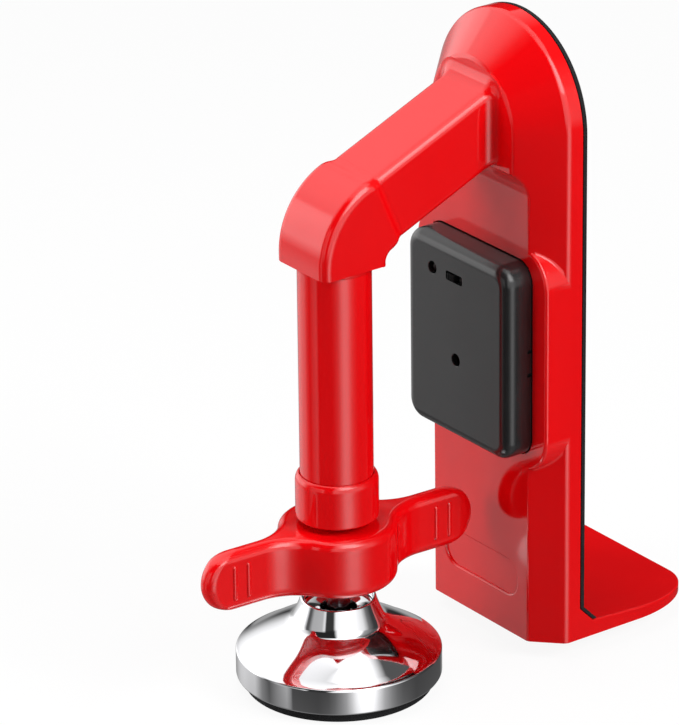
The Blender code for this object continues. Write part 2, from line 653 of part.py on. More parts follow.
def build_handle():
    bottom, top = HANDLE_BOTTOM_Z, HANDLE_TOP_Z
    mid = (bottom + top) / 2
    half_h = (top - bottom) / 2
    levels = [(bottom + HANDLE_ROUND - depth, inset) for inset, depth in
              reversed(edge_ease(HANDLE_ROUND, 4))]
    levels += [(mid + half_h * s, 0.0) for s in LEVEL_SHARES]
    levels += [(top - HANDLE_ROUND + depth, inset) for inset, depth in edge_ease(HANDLE_ROUND, 4)]
    rings = []
    for z, inset in levels:
        bow = math.sqrt(max(half_h ** 2 - (z - mid) ** 2, 0))
        rings.append(handle_ring(z, inset, WING_REACH - half_h + bow))
    handle = make("wing_handle", loft(rings), red("wing_handle"), post_axis)

    boss_top = COLLAR_BOTTOM_Z - GAP
    join(handle, cutter("handle_boss", disc(HANDLE_BOSS_RADIUS, top - OVERRUN, boss_top), post_axis))
    for wing in (1, -1):
        for number in range(RIB_COUNT):
            place = WING_REACH - RIB_SETBACK - number * RIB_PITCH
            for side in (1, -1):
                bead = RIB_RADIUS
                low, high = mid - RIB_HEIGHT / 2, mid + RIB_HEIGHT / 2
                profile = [(0, low), (bead / 2, low + bead / 4), (bead, low + bead), (bead, high - bead),
                           (bead / 2, high - bead / 4), (0, high)]
                offset = WING_THICKNESS / 2 + RIB_PROUD - bead
                spot = turned_spot(side * offset, wing * place, 0)
                join(handle, cutter(f"rib_{wing}_{number}_{side}", turned(profile, 8), post_axis, spot))
    shank = SCREW_RADIUS + SCREW_CLEARANCE
    cut(handle, cutter("handle_bore", disc(shank, bottom + HEX_HEIGHT, boss_top + OVERRUN,
                                           SMALL_FACETS), post_axis))
    pocket = HEX_FLATS / math.sqrt(3) + 2 * GAP
    cut(handle, cutter("hex_pocket", disc(pocket, bottom - OVERRUN, bottom + HEX_HEIGHT + GAP, 6),
                       post_axis))
    return handle


def build_screw():
    """Thread, hexagon, neck and ball, turned in one piece. The thread is left plain."""
    bottom = HANDLE_BOTTOM_Z + GAP
    shelf = HANDLE_BOTTOM_Z + HEX_HEIGHT
    start = math.degrees(math.asin(NECK_RADIUS / BALL_RADIUS))
    ball = [(BALL_RADIUS * math.cos(math.radians(a)), BALL_Z + BALL_RADIUS * math.sin(math.radians(a)))
            for a in (-90 + (180 - start) * i / 12 for i in range(13))]
    ball[0] = (0, ball[0][1])
    profile = ball + [(NECK_RADIUS, bottom), (SCREW_RADIUS, bottom + SMALL_ROUND),
                      (SCREW_RADIUS, SCREW_TOP_Z - SCREW_TAPER),
                      (SCREW_RADIUS - SCREW_TAPER, SCREW_TOP_Z), (0, SCREW_TOP_Z)]
    screw = make("lead_screw", turned(profile, SMALL_FACETS), steel("lead_screw"), post_axis)
    corner = HEX_FLATS / math.sqrt(3)
    join(screw, cutter("hexagon", disc(corner, bottom, shelf - GAP, 6), post_axis))
    return screw


def ball_shell(inner, outer, top_angle):
    """A round-bottomed cup about the ball's centre."""
    steps = 9
    down = -math.pi / 2
    angles = [down + (top_angle - down) * i / steps for i in range(steps + 1)]
    profile = [(outer * math.cos(a), outer * math.sin(a)) for a in angles]
    profile += [(inner * math.cos(a), inner * math.sin(a)) for a in reversed(angles)]
    profile[0] = (0, -outer)
    profile[-1] = (0, -inner)
    return turned(profile, SMALL_FACETS)


def build_foot():
    make("swivel_shell", ball_shell(SHELL_INNER, SHELL_OUTER, SHELL_TOP_ANGLE),
         material("swivel_shell", (0.85, 0.84, 0.8), 0.4), swivel_axis)
    make("seat_liner", ball_shell(LINER_INNER, LINER_OUTER, LINER_TOP_ANGLE),
         material("seat_liner", (0.12, 0.12, 0.13), 0.5), swivel_axis)

    ring_low = RETAINER_RISE
    groove = CUP_RADIUS - CUP_LIP
    profile = [(RETAINER_HOLE, ring_low), (groove + GROOVE_DEPTH - GAP, ring_low),
               (groove + GROOVE_DEPTH - GAP, ring_low + RETAINER_HEIGHT),
               (RETAINER_HOLE, ring_low + RETAINER_HEIGHT)]
    make("ball_retainer", turned(profile), steel("ball_retainer"), swivel_axis)

    seat = [(SEAT_RADIUS * math.cos(math.radians(a)), SEAT_RADIUS * math.sin(math.radians(a)))
            for a in (-90 + 90 * i / 7 for i in range(8))]
    seat[0] = (0, -SEAT_RADIUS)
    z = -BALL_Z
    cut_r = groove + GROOVE_DEPTH
    profile = list(reversed(seat))
    profile = [(groove, CUP_TOP_Z + z), (groove, ring_low + RETAINER_HEIGHT + GAP),
               (cut_r, ring_low + RETAINER_HEIGHT + GAP), (cut_r, ring_low - GAP),
               (groove, ring_low - GAP), (groove, SMALL_ROUND)] + profile
    recess = FOOT_RIM_BOTTOM_Z + RUBBER_SEAT + z
    profile += [(0, recess), (RUBBER_RADIUS + GAP, recess), (RUBBER_RADIUS + GAP, FOOT_RIM_BOTTOM_Z + z),
                (FOOT_RADIUS - SMALL_ROUND, FOOT_RIM_BOTTOM_Z + z),
                (FOOT_RADIUS, FOOT_RIM_BOTTOM_Z + SMALL_ROUND + z),
                (FOOT_RADIUS, FOOT_RIM_TOP_Z - SMALL_ROUND + z),
                (FOOT_RADIUS - SMALL_ROUND / 2, FOOT_RIM_TOP_Z + z),
                (FOOT_CREASE_RADIUS + SMALL_ROUND, FOOT_CREASE_Z - SMALL_ROUND / 2 + z),
                (FOOT_CREASE_RADIUS - SMALL_ROUND / 2, FOOT_CREASE_Z + SMALL_ROUND + z),
                (CUP_RADIUS, CUP_TOP_Z - SMALL_ROUND + z), (CUP_RADIUS - SMALL_ROUND / 2, CUP_TOP_Z + z)]
    make("foot_base", turned(profile), steel("foot_base", 0.06), swivel_axis)

    low = -FOOT_DROP + z
    profile = [(0, low + RUBBER_HOLLOW_DEPTH), (RUBBER_HOLLOW - SMALL_ROUND, low + RUBBER_HOLLOW_DEPTH),
               (RUBBER_HOLLOW, low), (RUBBER_RADIUS - SMALL_ROUND, low),
               (RUBBER_RADIUS, low + SMALL_ROUND), (RUBBER_RADIUS, recess - GAP), (0, recess - GAP)]
    make("foot_pad", turned(profile), black("foot_pad", 0.9), swivel_axis)


def build_alarm():
    half_w, half_h = ALARM_WIDTH / 2, ALARM_HEIGHT / 2
    rings = [rounded_ring(half_w, half_h, ALARM_CORNER, ALARM_MID_Z, CASE_BACK)]
    for inset, depth in edge_ease(ALARM_EDGE, 5):
        rings.append(rounded_ring(half_w - inset, half_h - inset, ALARM_CORNER - inset * 3 / 4,
                                  ALARM_MID_Z, ALARM_FRONT - ALARM_EDGE + depth))
    case = make("alarm_case", loft(rings), black("alarm_case"), base)
    wall = CASE_WALL
    hollow = rounded_ring(half_w - wall, half_h - wall, ALARM_CORNER - wall, ALARM_MID_Z, 0)
    narrow = rounded_ring(half_w - wall - CASE_LEDGE, half_h - wall - CASE_LEDGE,
                          ALARM_CORNER - wall - CASE_LEDGE, ALARM_MID_Z, 0)
    rings = [[(x, -CASE_BACK + OVERRUN, zz) for x, _, zz in hollow],
             [(x, -LEDGE_BACK, zz) for x, _, zz in hollow],
             [(x, -LEDGE_BACK, zz) for x, _, zz in narrow],
             [(x, -CASE_INSIDE, zz) for x, _, zz in narrow]]
    cut(case, cutter("case_hollow", loft(rings), base))

    ring_in = PIEZO_RADIUS + GAP
    piezo_front = CASE_INSIDE - GAP
    profile = [(ring_in, piezo_front - PIEZO_THICKNESS),
               (ring_in + PIEZO_RING_WALL, piezo_front - PIEZO_THICKNESS),
               (ring_in + PIEZO_RING_WALL, CASE_INSIDE + CASE_WALL / 2),
               (ring_in, CASE_INSIDE + CASE_WALL / 2)]
    join(case, cutter("piezo_ring", across(turned(profile, SMALL_FACETS)), base, (0, 0, SOUND_Z)))
    for name, x, zz, radius in (("led_hole", LED_X, LED_Z, LED_RADIUS + GAP),
                                ("sound_hole", 0, SOUND_Z, SOUND_HOLE)):
        hole = across(disc(radius, CASE_INSIDE - OVERRUN / 2, ALARM_FRONT + OVERRUN, SMALL_FACETS))
        cut(case, cutter(name, hole, base, (x, 0, zz)))
    slot = rounded_box(SLOT_WIDTH / 2, SLOT_HEIGHT / 2, SMALL_ROUND, SLOT_X, SLOT_Z, 2)
    cut(case, cutter("switch_slot", along_y(slot, -CASE_INSIDE + OVERRUN / 2, -ALARM_FRONT - OVERRUN),
                     base))
    for side in (1, -1):
        for step in (1, -1):
            notch = rounded_box(SNAP_WIDTH, SNAP_HEIGHT / 2, SNAP_HEIGHT / 4,
                                side * (half_w + SNAP_WIDTH / 2), ALARM_MID_Z + step * SNAP_PITCH / 2, 2)
            cut(case, cutter(f"snap_{side}_{step}",
                             along_y(notch, -FLAT_FRONT, -FLAT_FRONT - SNAP_WIDTH), base))

    inside = rounded_box(half_w - wall - GAP, half_h - wall - GAP, ALARM_CORNER - wall - GAP,
                         0, ALARM_MID_Z)
    make("alarm_cover", along_y(inside, -COVER_FRONT, -CASE_BACK), black("alarm_cover"), base)
    make("alarm_board", along_y(inside, -BOARD_BACK - BOARD_THICKNESS, -BOARD_BACK),
         material("alarm_board", (0.02, 0.16, 0.06), 0.4), base)
    tape = rounded_box(half_w - wall, half_h - wall, ALARM_CORNER - wall, 0, ALARM_MID_Z)
    make("alarm_tape", along_y(tape, -TAPE_BACK - TAPE_THICKNESS, -TAPE_BACK),
         material("alarm_tape", (0.75, 0.75, 0.72), 0.8), base)

    piezo = across(disc(PIEZO_RADIUS, piezo_front - PIEZO_THICKNESS, piezo_front, SMALL_FACETS))
    make("piezo_disc", piezo, material("piezo_disc", (0.75, 0.55, 0.2), 0.3, 1.0), base, (0, 0, SOUND_Z))
    board_face = BOARD_BACK + BOARD_THICKNESS + GAP
    led = [(0, board_face), (LED_RADIUS, board_face), (LED_RADIUS, ALARM_FRONT - LED_RADIUS),
           (LED_RADIUS * math.cos(math.pi / 4), ALARM_FRONT - LED_RADIUS * (1 - math.sin(math.pi / 4))),
           (0, ALARM_FRONT)]
    make("alarm_led", across(turned(led, SMALL_FACETS // 2)),
         material("alarm_led", (0.6, 0.05, 0.04), 0.15), base, (LED_X, 0, LED_Z))

    body_front = CASE_INSIDE - GAP
    body = rounded_box(SLOT_WIDTH / 2 + CASE_WALL, SLOT_HEIGHT, SMALL_ROUND, SLOT_X, SLOT_Z, 2)
    make("switch_body", along_y(body, -body_front, -board_face), steel("switch_body", 0.4), base)
    knob_x = -(SWITCH_TRAVEL / 2)
    knob = rounded_box(KNOB_WIDTH / 2, SLOT_HEIGHT / 2 - GAP, SMALL_ROUND / 2, knob_x, 0, 2)
    make("switch_knob", along_y(knob, -ALARM_FRONT - KNOB_PROUD, -body_front - GAP),
         black("switch_knob", 0.4), switch_axis)

    sensor_y = (COVER_FRONT + BOARD_BACK) / 2
    bead = sideways(disc(SENSOR_RADIUS, -SENSOR_LENGTH / 2, SENSOR_LENGTH / 2, SMALL_FACETS // 2))
    make("shock_sensor", bead, steel("shock_sensor"), base, (0, -sensor_y, SENSOR_Z))

    centres = [(-CELL_PITCH / 2, 0), (CELL_PITCH / 2, 0), (0, CELL_PITCH * math.sin(math.pi / 3))]
    for number, (x, rise) in enumerate(centres, 1):
        eased = [(0, CELL_BACK), (CELL_RADIUS, CELL_BACK), (CELL_RADIUS, CELL_BACK + CELL_THICKNESS
                 - SMALL_ROUND), (CELL_RADIUS - SMALL_ROUND, CELL_BACK + CELL_THICKNESS),
                 (0, CELL_BACK + CELL_THICKNESS)]
        make(f"battery_cell_{number}", across(turned(eased, SMALL_FACETS)),
             steel(f"battery_cell_{number}"), base, (x, 0, CELL_MID_Z + rise))
    for name, back, turn, x, rise in (
            ("battery_strip_rear", STRIP_BACK, 0, 0, 0),
            ("battery_strip_front", STRIP_FRONT, 2 * math.pi / 3, CELL_PITCH / 4,
             centres[2][1] / 2)):
        strip = along_y(rounded_box(CELL_PITCH / 2 + CELL_RADIUS / 2, CELL_RADIUS / 2, SMALL_ROUND, 0, 0,
                                    2), -back - STRIP_THICKNESS, -back)
        bmesh.ops.rotate(strip, verts=strip.verts, cent=(0, 0, 0), matrix=Matrix.Rotation(-turn, 3, 'Y'))
        make(name, strip, material(name, (0.8, 0.62, 0.25), 0.3, 1.0), base,
             (x, 0, CELL_MID_Z + rise))


build_plate()
build_pad()
build_elbow()
build_post()
build_handle()
build_screw()
build_foot()
build_alarm()
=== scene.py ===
import math

import bmesh
import bpy
from bpy.props import FloatProperty, FloatVectorProperty, IntProperty, PointerProperty
from mathutils import Matrix, Vector


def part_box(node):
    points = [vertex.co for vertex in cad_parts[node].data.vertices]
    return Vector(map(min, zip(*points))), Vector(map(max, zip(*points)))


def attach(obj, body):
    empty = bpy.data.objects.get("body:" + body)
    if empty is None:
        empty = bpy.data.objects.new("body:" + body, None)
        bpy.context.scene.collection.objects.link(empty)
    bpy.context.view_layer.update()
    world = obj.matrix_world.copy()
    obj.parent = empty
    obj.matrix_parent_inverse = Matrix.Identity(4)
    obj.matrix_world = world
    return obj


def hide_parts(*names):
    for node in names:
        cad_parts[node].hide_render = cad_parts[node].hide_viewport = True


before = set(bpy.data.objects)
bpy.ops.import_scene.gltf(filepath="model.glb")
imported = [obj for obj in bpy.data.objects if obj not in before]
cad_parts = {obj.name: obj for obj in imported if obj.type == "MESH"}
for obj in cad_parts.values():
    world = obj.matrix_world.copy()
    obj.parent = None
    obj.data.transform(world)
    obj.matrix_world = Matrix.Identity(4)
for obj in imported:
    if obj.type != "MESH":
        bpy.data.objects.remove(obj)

bl_info = {
    "name": "Door stop alarm",
    "version": (1, 0, 0),
    "blender": (4, 5, 0),
    "location": "View3D > Sidebar > Door stop",
    "description": "Builds a door stop with an alarm on its plate, a wing handle and a swivel foot",
    "category": "Add Mesh",
}

# Places in the row frame, in metres: x across the plate, y towards the door, z up
BACK = 0.02635            # the plate's back
BAND = 0.02225            # where its flat side ends
FLAT = 0.01545            # lower front face
BOSS = 0.01255            # upper front face
FLAT_HALF = 0.0187        # half width of the lower front face
BOSS_LOW = 0.12748        # where the upper front face begins
LOW = 0.0044              # underside of the plate and its flange
FLANGE_TOP = LOW + 0.0043
GUSSET_TOP = LOW + 0.0083
ALARM_MIDDLE = 0.0796     # middle height of the alarm
POST_Y = -0.02835
ARM_ROOT = (0.0, BOSS, 0.1376)   # where the arm's middle line leaves the upper face
ARM_LENGTH = 0.0329       # down its slope to the elbow
ARM_ROUND = 0.0022        # its long edges, and the elbow's
ELBOW_LOW = 0.11096       # underside of the elbow
POST_TOP = 0.1107
HANDLE_LOW, HANDLE_HIGH = 0.0281, 0.0433
HEX_CORNER = 0.0130 / math.sqrt(3)   # the screw's hexagon, 13 mm across its flats
BALL_HEIGHT = 0.0135      # middle of the screw's ball
MOUTH = 0.0229            # top of the foot's cup
STEP = 0.0003             # between pieces that touch
NEAR = 0.00001            # points this close are taken for one


def box_size(node, axis):
    low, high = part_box(node)
    return high[axis] - low[axis]


# ---------------- sizes and colours

class DoorStopSizes(bpy.types.PropertyGroup):
    """Sizes of the door stop that a user may change"""
    plate_width: FloatProperty(name="Plate width", description="Across the door plate",
                               default=box_size("door_plate", 0), min=0.03, unit='LENGTH')
    plate_top: FloatProperty(name="Plate top", description="Top of the plate over the floor",
                             default=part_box("door_plate")[1][2], min=0.14, unit='LENGTH')
    edge_ease: FloatProperty(name="Edge ease", description="Rounding of the plate's edges",
                             default=0.0009, min=0.0001, unit='LENGTH')
    arm_width: FloatProperty(name="Arm width", description="Across the arm", default=0.0181,
                             min=0.005, unit='LENGTH')
    arm_height: FloatProperty(name="Arm height", description="Square to the arm's slope",
                              default=0.0184, min=0.005, unit='LENGTH')
    arm_slope: FloatProperty(name="Arm slope", description="How far the arm drops from level",
                             default=math.radians(23.3), unit='ROTATION')
    post_radius: FloatProperty(name="Post radius", description="Radius of the post's tube",
                               default=0.00895, min=0.004, unit='LENGTH')
    collar_radius: FloatProperty(name="Collar radius", description="Radius of the post's collar",
                                 default=box_size("post_collar", 0) / 2, min=0.004,
                                 unit='LENGTH')
    wing_reach: FloatProperty(name="Wing reach", description="From the post's axis to a wing's end",
                              default=0.0390, min=0.02, unit='LENGTH')
    wing_thickness: FloatProperty(name="Wing thickness", description="Across a wing",
                                  default=0.0052, min=0.002, unit='LENGTH')
    wing_turn: FloatProperty(name="Wing turn", description="How far the wings stand from square",
                             default=math.radians(-2.2), unit='ROTATION')
    thread_pitch: FloatProperty(name="Thread pitch", description="Rise of the screw in one turn",
                                default=0.003, min=0.001, unit='LENGTH')
    foot_radius: FloatProperty(name="Foot radius", description="Radius of the foot's rim",
                               default=box_size("foot_base", 0) / 2, min=0.01, unit='LENGTH')
    alarm_corner: FloatProperty(name="Alarm corner", description="Corners of the alarm's case",
                                default=0.0052, min=0.001, unit='LENGTH')
    facets: IntProperty(name="Facets", description="Facets around a turned piece", default=96,
                        min=24, max=192)


class DoorStopColours(bpy.types.PropertyGroup):
    """Colours of the door stop that a user may change"""
    moulding: FloatVectorProperty(name="Moulding", subtype='COLOR', size=3, min=0, max=1,
                                  description="Glossy plastic of plate, post and handle",
                                  default=(0.75, 0.0014, 0.0032))
    case: FloatVectorProperty(name="Alarm case", subtype='COLOR', size=3, min=0, max=1,
                              description="Satin plastic of the alarm",
                              default=(0.010, 0.010, 0.0105))
    plating: FloatVectorProperty(name="Plating", subtype='COLOR', size=3, min=0, max=1,
                                 description="Bright plating of the foot",
                                 default=(0.88, 0.88, 0.90))
    rubber: FloatVectorProperty(name="Rubber", subtype='COLOR', size=3, min=0, max=1,
                                description="Rubber of the foot and foam of the pad",
                                default=(0.006, 0.006, 0.0066))


def sizes():
    return bpy.context.scene.door_stop_sizes


def colour(name):
    return tuple(getattr(bpy.context.scene.door_stop_colours, name))


# ---------------- finishes

class Nodes:
    """The nodes of a material or of the world"""

    def __init__(self, tree):
        self.tree = tree

    def new(self, kind, **inputs):
        """A node with its inputs set by name, _ for each space."""
        return self.put(self.tree.nodes.new(kind), **inputs)

    def put(self, node, **inputs):
        for name, value in inputs.items():
            node.inputs[name.replace("_", " ")].default_value = value
        return node

    def join(self, value, socket):
        self.tree.links.new(value, socket)

    def spread(self, value, low, high, start=0.3, end=0.7):
        """A value brought into the range from low to high."""
        ramp = self.new("ShaderNodeMapRange", From_Min=start, From_Max=end, To_Min=low,
                        To_Max=high)
        self.join(value, ramp.inputs["Value"])
        return ramp.outputs["Result"]

    def tint(self, value, one, two):
        """A colour between two, by a value. Each of the two is a colour or a socket."""
        mix = self.new("ShaderNodeMix")
        mix.data_type = 'RGBA'
        self.join(value, mix.inputs[0])
        for socket, given in zip(mix.inputs[6:8], (one, two)):
            if isinstance(given, tuple):
                socket.default_value = (*given, 1.0)
            else:
                self.join(given, socket)
        return mix.outputs[2]

    def blend(self, share, one, two):
        """A shader between two."""
        mix = self.new("ShaderNodeMixShader")
        for value, socket in zip((share, one, two), mix.inputs):
            self.join(value, socket)
        return mix.outputs[0]


class Finish(Nodes):
    """A new material with its Principled shader, drawn in the object's own space"""

    def __init__(self, name):
        self.material = bpy.data.materials.new(name)
        self.material.use_nodes = True
        super().__init__(self.material.node_tree)
        self.shader = self.tree.nodes["Principled BSDF"]
        self.place = self.new("ShaderNodeTexCoord").outputs["Object"]

    def noise(self, scale, detail=3.0, rough=0.5, stretch=None):
        """Noise at a scale per metre, drawn out along an axis where stretch is given."""
        grain = self.new("ShaderNodeTexNoise", Scale=scale, Detail=detail, Roughness=rough)
        place = self.place
        if stretch:
            turn = self.new("ShaderNodeMapping", Scale=stretch)
            self.join(place, turn.inputs["Vector"])
            place = turn.outputs["Vector"]
        self.join(place, grain.inputs["Vector"])
        return grain.outputs["Fac"]

    def paint(self, value, base, share, lift=0.0):
        """The base colour, clouded by noise towards a share of itself and a lift."""
        other = tuple(min(1, c * share + lift) for c in base)
        tinted = self.tint(self.spread(value, 0, 1), base, other)
        self.join(tinted, self.shader.inputs["Base Color"])

    def set(self, **inputs):
        """Inputs of the shader, by name."""
        self.put(self.shader, **inputs)

    def sheen(self, value, low, high):
        """The roughness, between two by noise."""
        self.join(self.spread(value, low, high), self.shader.inputs["Roughness"])

    def relief(self, *heights):
        """Bumps in a chain, each (height, depth in metres)."""
        last = None
        for height, depth in heights:
            bump = self.new("ShaderNodeBump", Strength=1.0, Distance=depth)
            self.join(height, bump.inputs["Height"])
            if last:
                self.join(last, bump.inputs["Normal"])
            last = bump.outputs["Normal"]
        self.join(last, self.shader.inputs["Normal"])
        return self.material


def glossy_moulding(name):
    """Bright moulded plastic: a faint flow in the colour, a slight waviness and rubbed patches."""
    look, base = Finish(name), colour("moulding")
    look.paint(look.noise(22, 4, 0.55, (1, 1, 0.35)), base, 0.90)
    look.sheen(look.noise(55, 6, 0.6), 0.05, 0.10)
    look.set(IOR=1.65, Subsurface_Weight=0.06, Subsurface_Scale=1.0,
             Subsurface_Radius=(0.0012, 0.0003, 0.0003))
    wave, grit = look.noise(90, 1), look.noise(2600, 2)
    return look.relief((wave, 0.00006), (grit, 0.0000015))


def satin_moulding(name, base, rough=0.21, grain=5200, depth=0.000012, ior=1.60):
    """Spark-textured plastic: a fine even grain and a slight unevenness in its sheen."""
    look = Finish(name)
    cloud = look.noise(70, 4)
    look.paint(cloud, base, 1.35, 0.002)
    look.sheen(cloud, rough - 0.04, rough + 0.05)
    look.set(IOR=ior)
    return look.relief((look.noise(grain, 2), depth))


def bright_plating(name):
    """Chrome on a pressed cone: nearly a mirror, with a faint ripple and fine wiping marks."""
    look, base = Finish(name), colour("plating")
    look.paint(look.noise(45, 5), base, 0.95)
    look.set(Metallic=1.0)
    look.sheen(look.noise(900, 3, 0.6, (1, 1, 9)), 0.025, 0.07)
    return look.relief((look.noise(60, 1), 0.00004))


def worked_metal(name, base, rough=0.28, stretch=(1, 1, 1)):
    """Plain metal with drawn or turned marks and darker specks."""
    look = Finish(name)
    marks = look.noise(1500, 4, 0.6, stretch)
    look.paint(marks, base, 0.72)
    look.set(Metallic=1.0)
    look.sheen(marks, rough - 0.06, rough + 0.1)
    return look.relief((marks, 0.000006))


def dull_rubber(name, foam=False):
    """Moulded rubber, or foam rubber with its small cells."""
    look, base = Finish(name), colour("rubber")
    dust = look.noise(120, 6, 0.65)
    look.paint(dust, base, 1.8, 0.003)
    look.sheen(dust, 0.62, 0.8)
    look.set(IOR=1.35)
    fine = (look.noise(3000, 3), 0.00002)
    if not foam:
        return look.relief(fine)
    cells = look.new("ShaderNodeTexVoronoi", Scale=1700)
    look.join(look.place, cells.inputs["Vector"])
    return look.relief((cells.outputs["Distance"], 0.00018), fine)


def circuit_laminate(name):
    """Green lacquered board with its faint glass weave."""
    look = Finish(name)
    weave = look.new("ShaderNodeTexChecker", Scale=1800, Color1=(0.015, 0.13, 0.05, 1),
                     Color2=(0.02, 0.16, 0.06, 1))
    look.join(look.place, weave.inputs["Vector"])
    look.join(weave.outputs["Color"], look.shader.inputs["Base Color"])
    cloud = look.noise(160, 3)
    look.sheen(cloud, 0.25, 0.4)
    return look.relief((cloud, 0.00002))


def lamp_lens(name):
    """Tinted clear epoxy of the lamp, its colour nearly black as painted shade for the inside of
    its hole.
    """
    look = Finish(name)
    swirl = look.noise(900, 2)
    # the near-black tint is painted shade: it stands for the shade inside the lamp hole
    tinted = look.tint(swirl, (0.008, 0.003, 0.003), (0.004, 0.002, 0.002))
    look.join(tinted, look.shader.inputs["Base Color"])
    look.sheen(swirl, 0.15, 0.25)
    look.set(IOR=1.25)
    return look.material


# ---------------- working by hand

def clear():
    """Nothing is selected, in object mode."""
    if bpy.context.mode != 'OBJECT':
        bpy.ops.object.mode_set(mode='OBJECT')
    bpy.ops.object.select_all(action='DESELECT')


def only(piece):
    """This piece alone is selected, in object mode."""
    clear()
    piece.select_set(True)
    bpy.context.view_layer.objects.active = piece


def edit(piece):
    """This piece alone is selected, in edit mode."""
    only(piece)
    bpy.ops.object.mode_set(mode='EDIT')
    return piece


def leave():
    bpy.ops.object.mode_set(mode='OBJECT')


def settle(piece):
    """Take the object's place, turn and size into its mesh."""
    only(piece)
    bpy.ops.object.transform_apply(location=True, rotation=True, scale=True)
    return piece


def named(name):
    """The piece just made gets its name and is settled. It is left in edit mode."""
    piece = bpy.context.object
    piece.name = name
    return edit(settle(piece))


def block(name, low, high):
    """A cube between two corners. It is left in edit mode."""
    clear()
    middle = [(a + b) / 2 for a, b in zip(low, high)]
    bpy.ops.mesh.primitive_cube_add(size=1, location=middle,
                                    scale=[b - a for a, b in zip(low, high)])
    return named(name)


def everything():
    bpy.ops.mesh.select_all(action='SELECT')


def outward():
    """All faces look out."""
    everything()
    bpy.ops.mesh.normals_make_consistent(inside=False)


def choose(kind, test):
    """Select, in edit mode, only the points, edges or faces that pass a test."""
    bpy.ops.mesh.select_mode(type=kind)
    bpy.ops.mesh.select_all(action='DESELECT')
    mesh = bpy.context.edit_object.data
    work = bmesh.from_edit_mesh(mesh)
    work.normal_update()
    found = 0
    for item in {'VERT': work.verts, 'EDGE': work.edges, 'FACE': work.faces}[kind]:
        if test(item):
            item.select_set(True)
            found += 1
    bmesh.update_edit_mesh(mesh)
    if not found:
        raise RuntimeError(f"nothing to select on {bpy.context.edit_object.name}")


def mid(edge):
    return (edge.verts[0].co + edge.verts[1].co) / 2


def along(edge, axis):
    """True where an edge runs along one axis."""
    step = edge.verts[1].co - edge.verts[0].co
    return abs(step[axis]) > 0.999 * step.length


def between(edge, axis, place, slack=2 * NEAR):
    """True where both ends of an edge lie at one place on an axis."""
    return all(abs(v.co[axis] - place) < slack for v in edge.verts)


def near(one, two):
    return abs(one - two) < NEAR


def facing(face, axis, way):
    """True where a face looks along an axis, forwards or backwards."""
    return face.normal[axis] * way > 0.9


def level(face, axis, place):
    """True where a face lies at one place on an axis."""
    return all(near(v.co[axis], place) for v in face.verts)


def ease(test, radius, steps):
    """Round the edges that pass a test."""
    choose('EDGE', test)
    bpy.ops.mesh.bevel(offset=radius, offset_type='OFFSET', segments=steps, profile=0.5,
                       affect='EDGES', clamp_overlap=False)


def rounded_block(name, low, high, radius, steps):
    """A block with its edges along Y rounded. It is left in edit mode."""
    piece = block(name, low, high)
    ease(lambda e: along(e, 1), radius, steps)
    return piece


def draw_out(step):
    """Extrude the chosen faces."""
    bpy.ops.mesh.extrude_region_move(TRANSFORM_OT_translate={"value": step})


def shift(step):
    bpy.ops.transform.translate(value=step)


def resize(ratios, about):
    bpy.ops.transform.resize(value=ratios, center_override=about)


def merge(reach=NEAR):
    everything()
    bpy.ops.mesh.remove_doubles(threshold=reach)


def trim(at, normal, inner=False):
    """Cut the whole piece at a plane, keep what is behind it and close the cut."""
    everything()
    bpy.ops.mesh.bisect(plane_co=at, plane_no=Vector(normal).normalized(), use_fill=True,
                        clear_outer=not inner, clear_inner=inner, threshold=0.000001)


def combine(piece, other, way='DIFFERENCE'):
    """Cut another piece out of this one, or join it on. The other is used up."""
    only(piece)
    step = piece.modifiers.new("work", 'BOOLEAN')
    step.operation = way
    step.solver = 'EXACT'
    step.object = other
    bpy.ops.object.modifier_apply(modifier=step.name)
    bpy.data.objects.remove(other, do_unlink=True)
    if not piece.data.polygons:
        raise RuntimeError(f"{piece.name} was lost")


def plotted(name, points, fill='NOTHING'):
    """A circle whose points are set at the given places. It is left in edit mode."""
    clear()
    bpy.ops.mesh.primitive_circle_add(vertices=len(points), radius=0.01, fill_type=fill,
                                      location=(0, 0, 0))
    piece = named(name)
    work = bmesh.from_edit_mesh(piece.data)
    for point, spot in zip(sorted(work.verts, key=lambda v: v.index), points):
        point.co = spot
    bmesh.update_edit_mesh(piece.data)
    return piece


def take_in(piece, *others):
    """Make other pieces part of this one's mesh."""
    only(piece)
    for other in others:
        other.select_set(True)
    bpy.ops.object.join()


def arc(mid_a, mid_b, radius, start, end, steps):
    """Points on an arc, angles in degrees."""
    angles = (math.radians(start + (end - start) * i / steps) for i in range(steps + 1))
    return [(mid_a + radius * math.cos(t), mid_b + radius * math.sin(t)) for t in angles]


def turned(name, profile, at=(0.0, POST_Y), facets=None):
    """A circle drawn up through the (radius, height) pairs of a profile.

    A profile that starts or ends on the axis is closed there; any other is a tube and is closed on
    itself."""
    facets = facets or sizes().facets
    first = 1 if profile[0][0] <= 0 else 0
    radius, z = profile[first]
    clear()
    bpy.ops.mesh.primitive_circle_add(vertices=facets, radius=radius, location=(*at, z),
                                      fill_type='TRIFAN' if first else 'NOTHING')
    piece = named(name)
    steps = profile[first + 1:]
    if first:
        choose('VERT', lambda v: (v.co.xy - Vector(at)).length < radius / 2)
        shift((0, 0, profile[0][1] - z))
        choose('EDGE', lambda e: e.is_boundary)
    else:
        bpy.ops.mesh.select_mode(type='EDGE')
        everything()
        steps = steps + [profile[0]]
    for new_radius, new_z in steps:
        bpy.ops.mesh.extrude_edges_move(TRANSFORM_OT_translate={"value": (0, 0, new_z - z)})
        if new_radius <= 0:
            bpy.ops.mesh.merge(type='CENTER')
        elif abs(new_radius - radius) > 1e-9:
            ratio = new_radius / radius
            resize((ratio, ratio, 1), (*at, new_z))
        radius, z = new_radius, new_z
    merge(0.000002)
    outward()
    leave()
    return piece


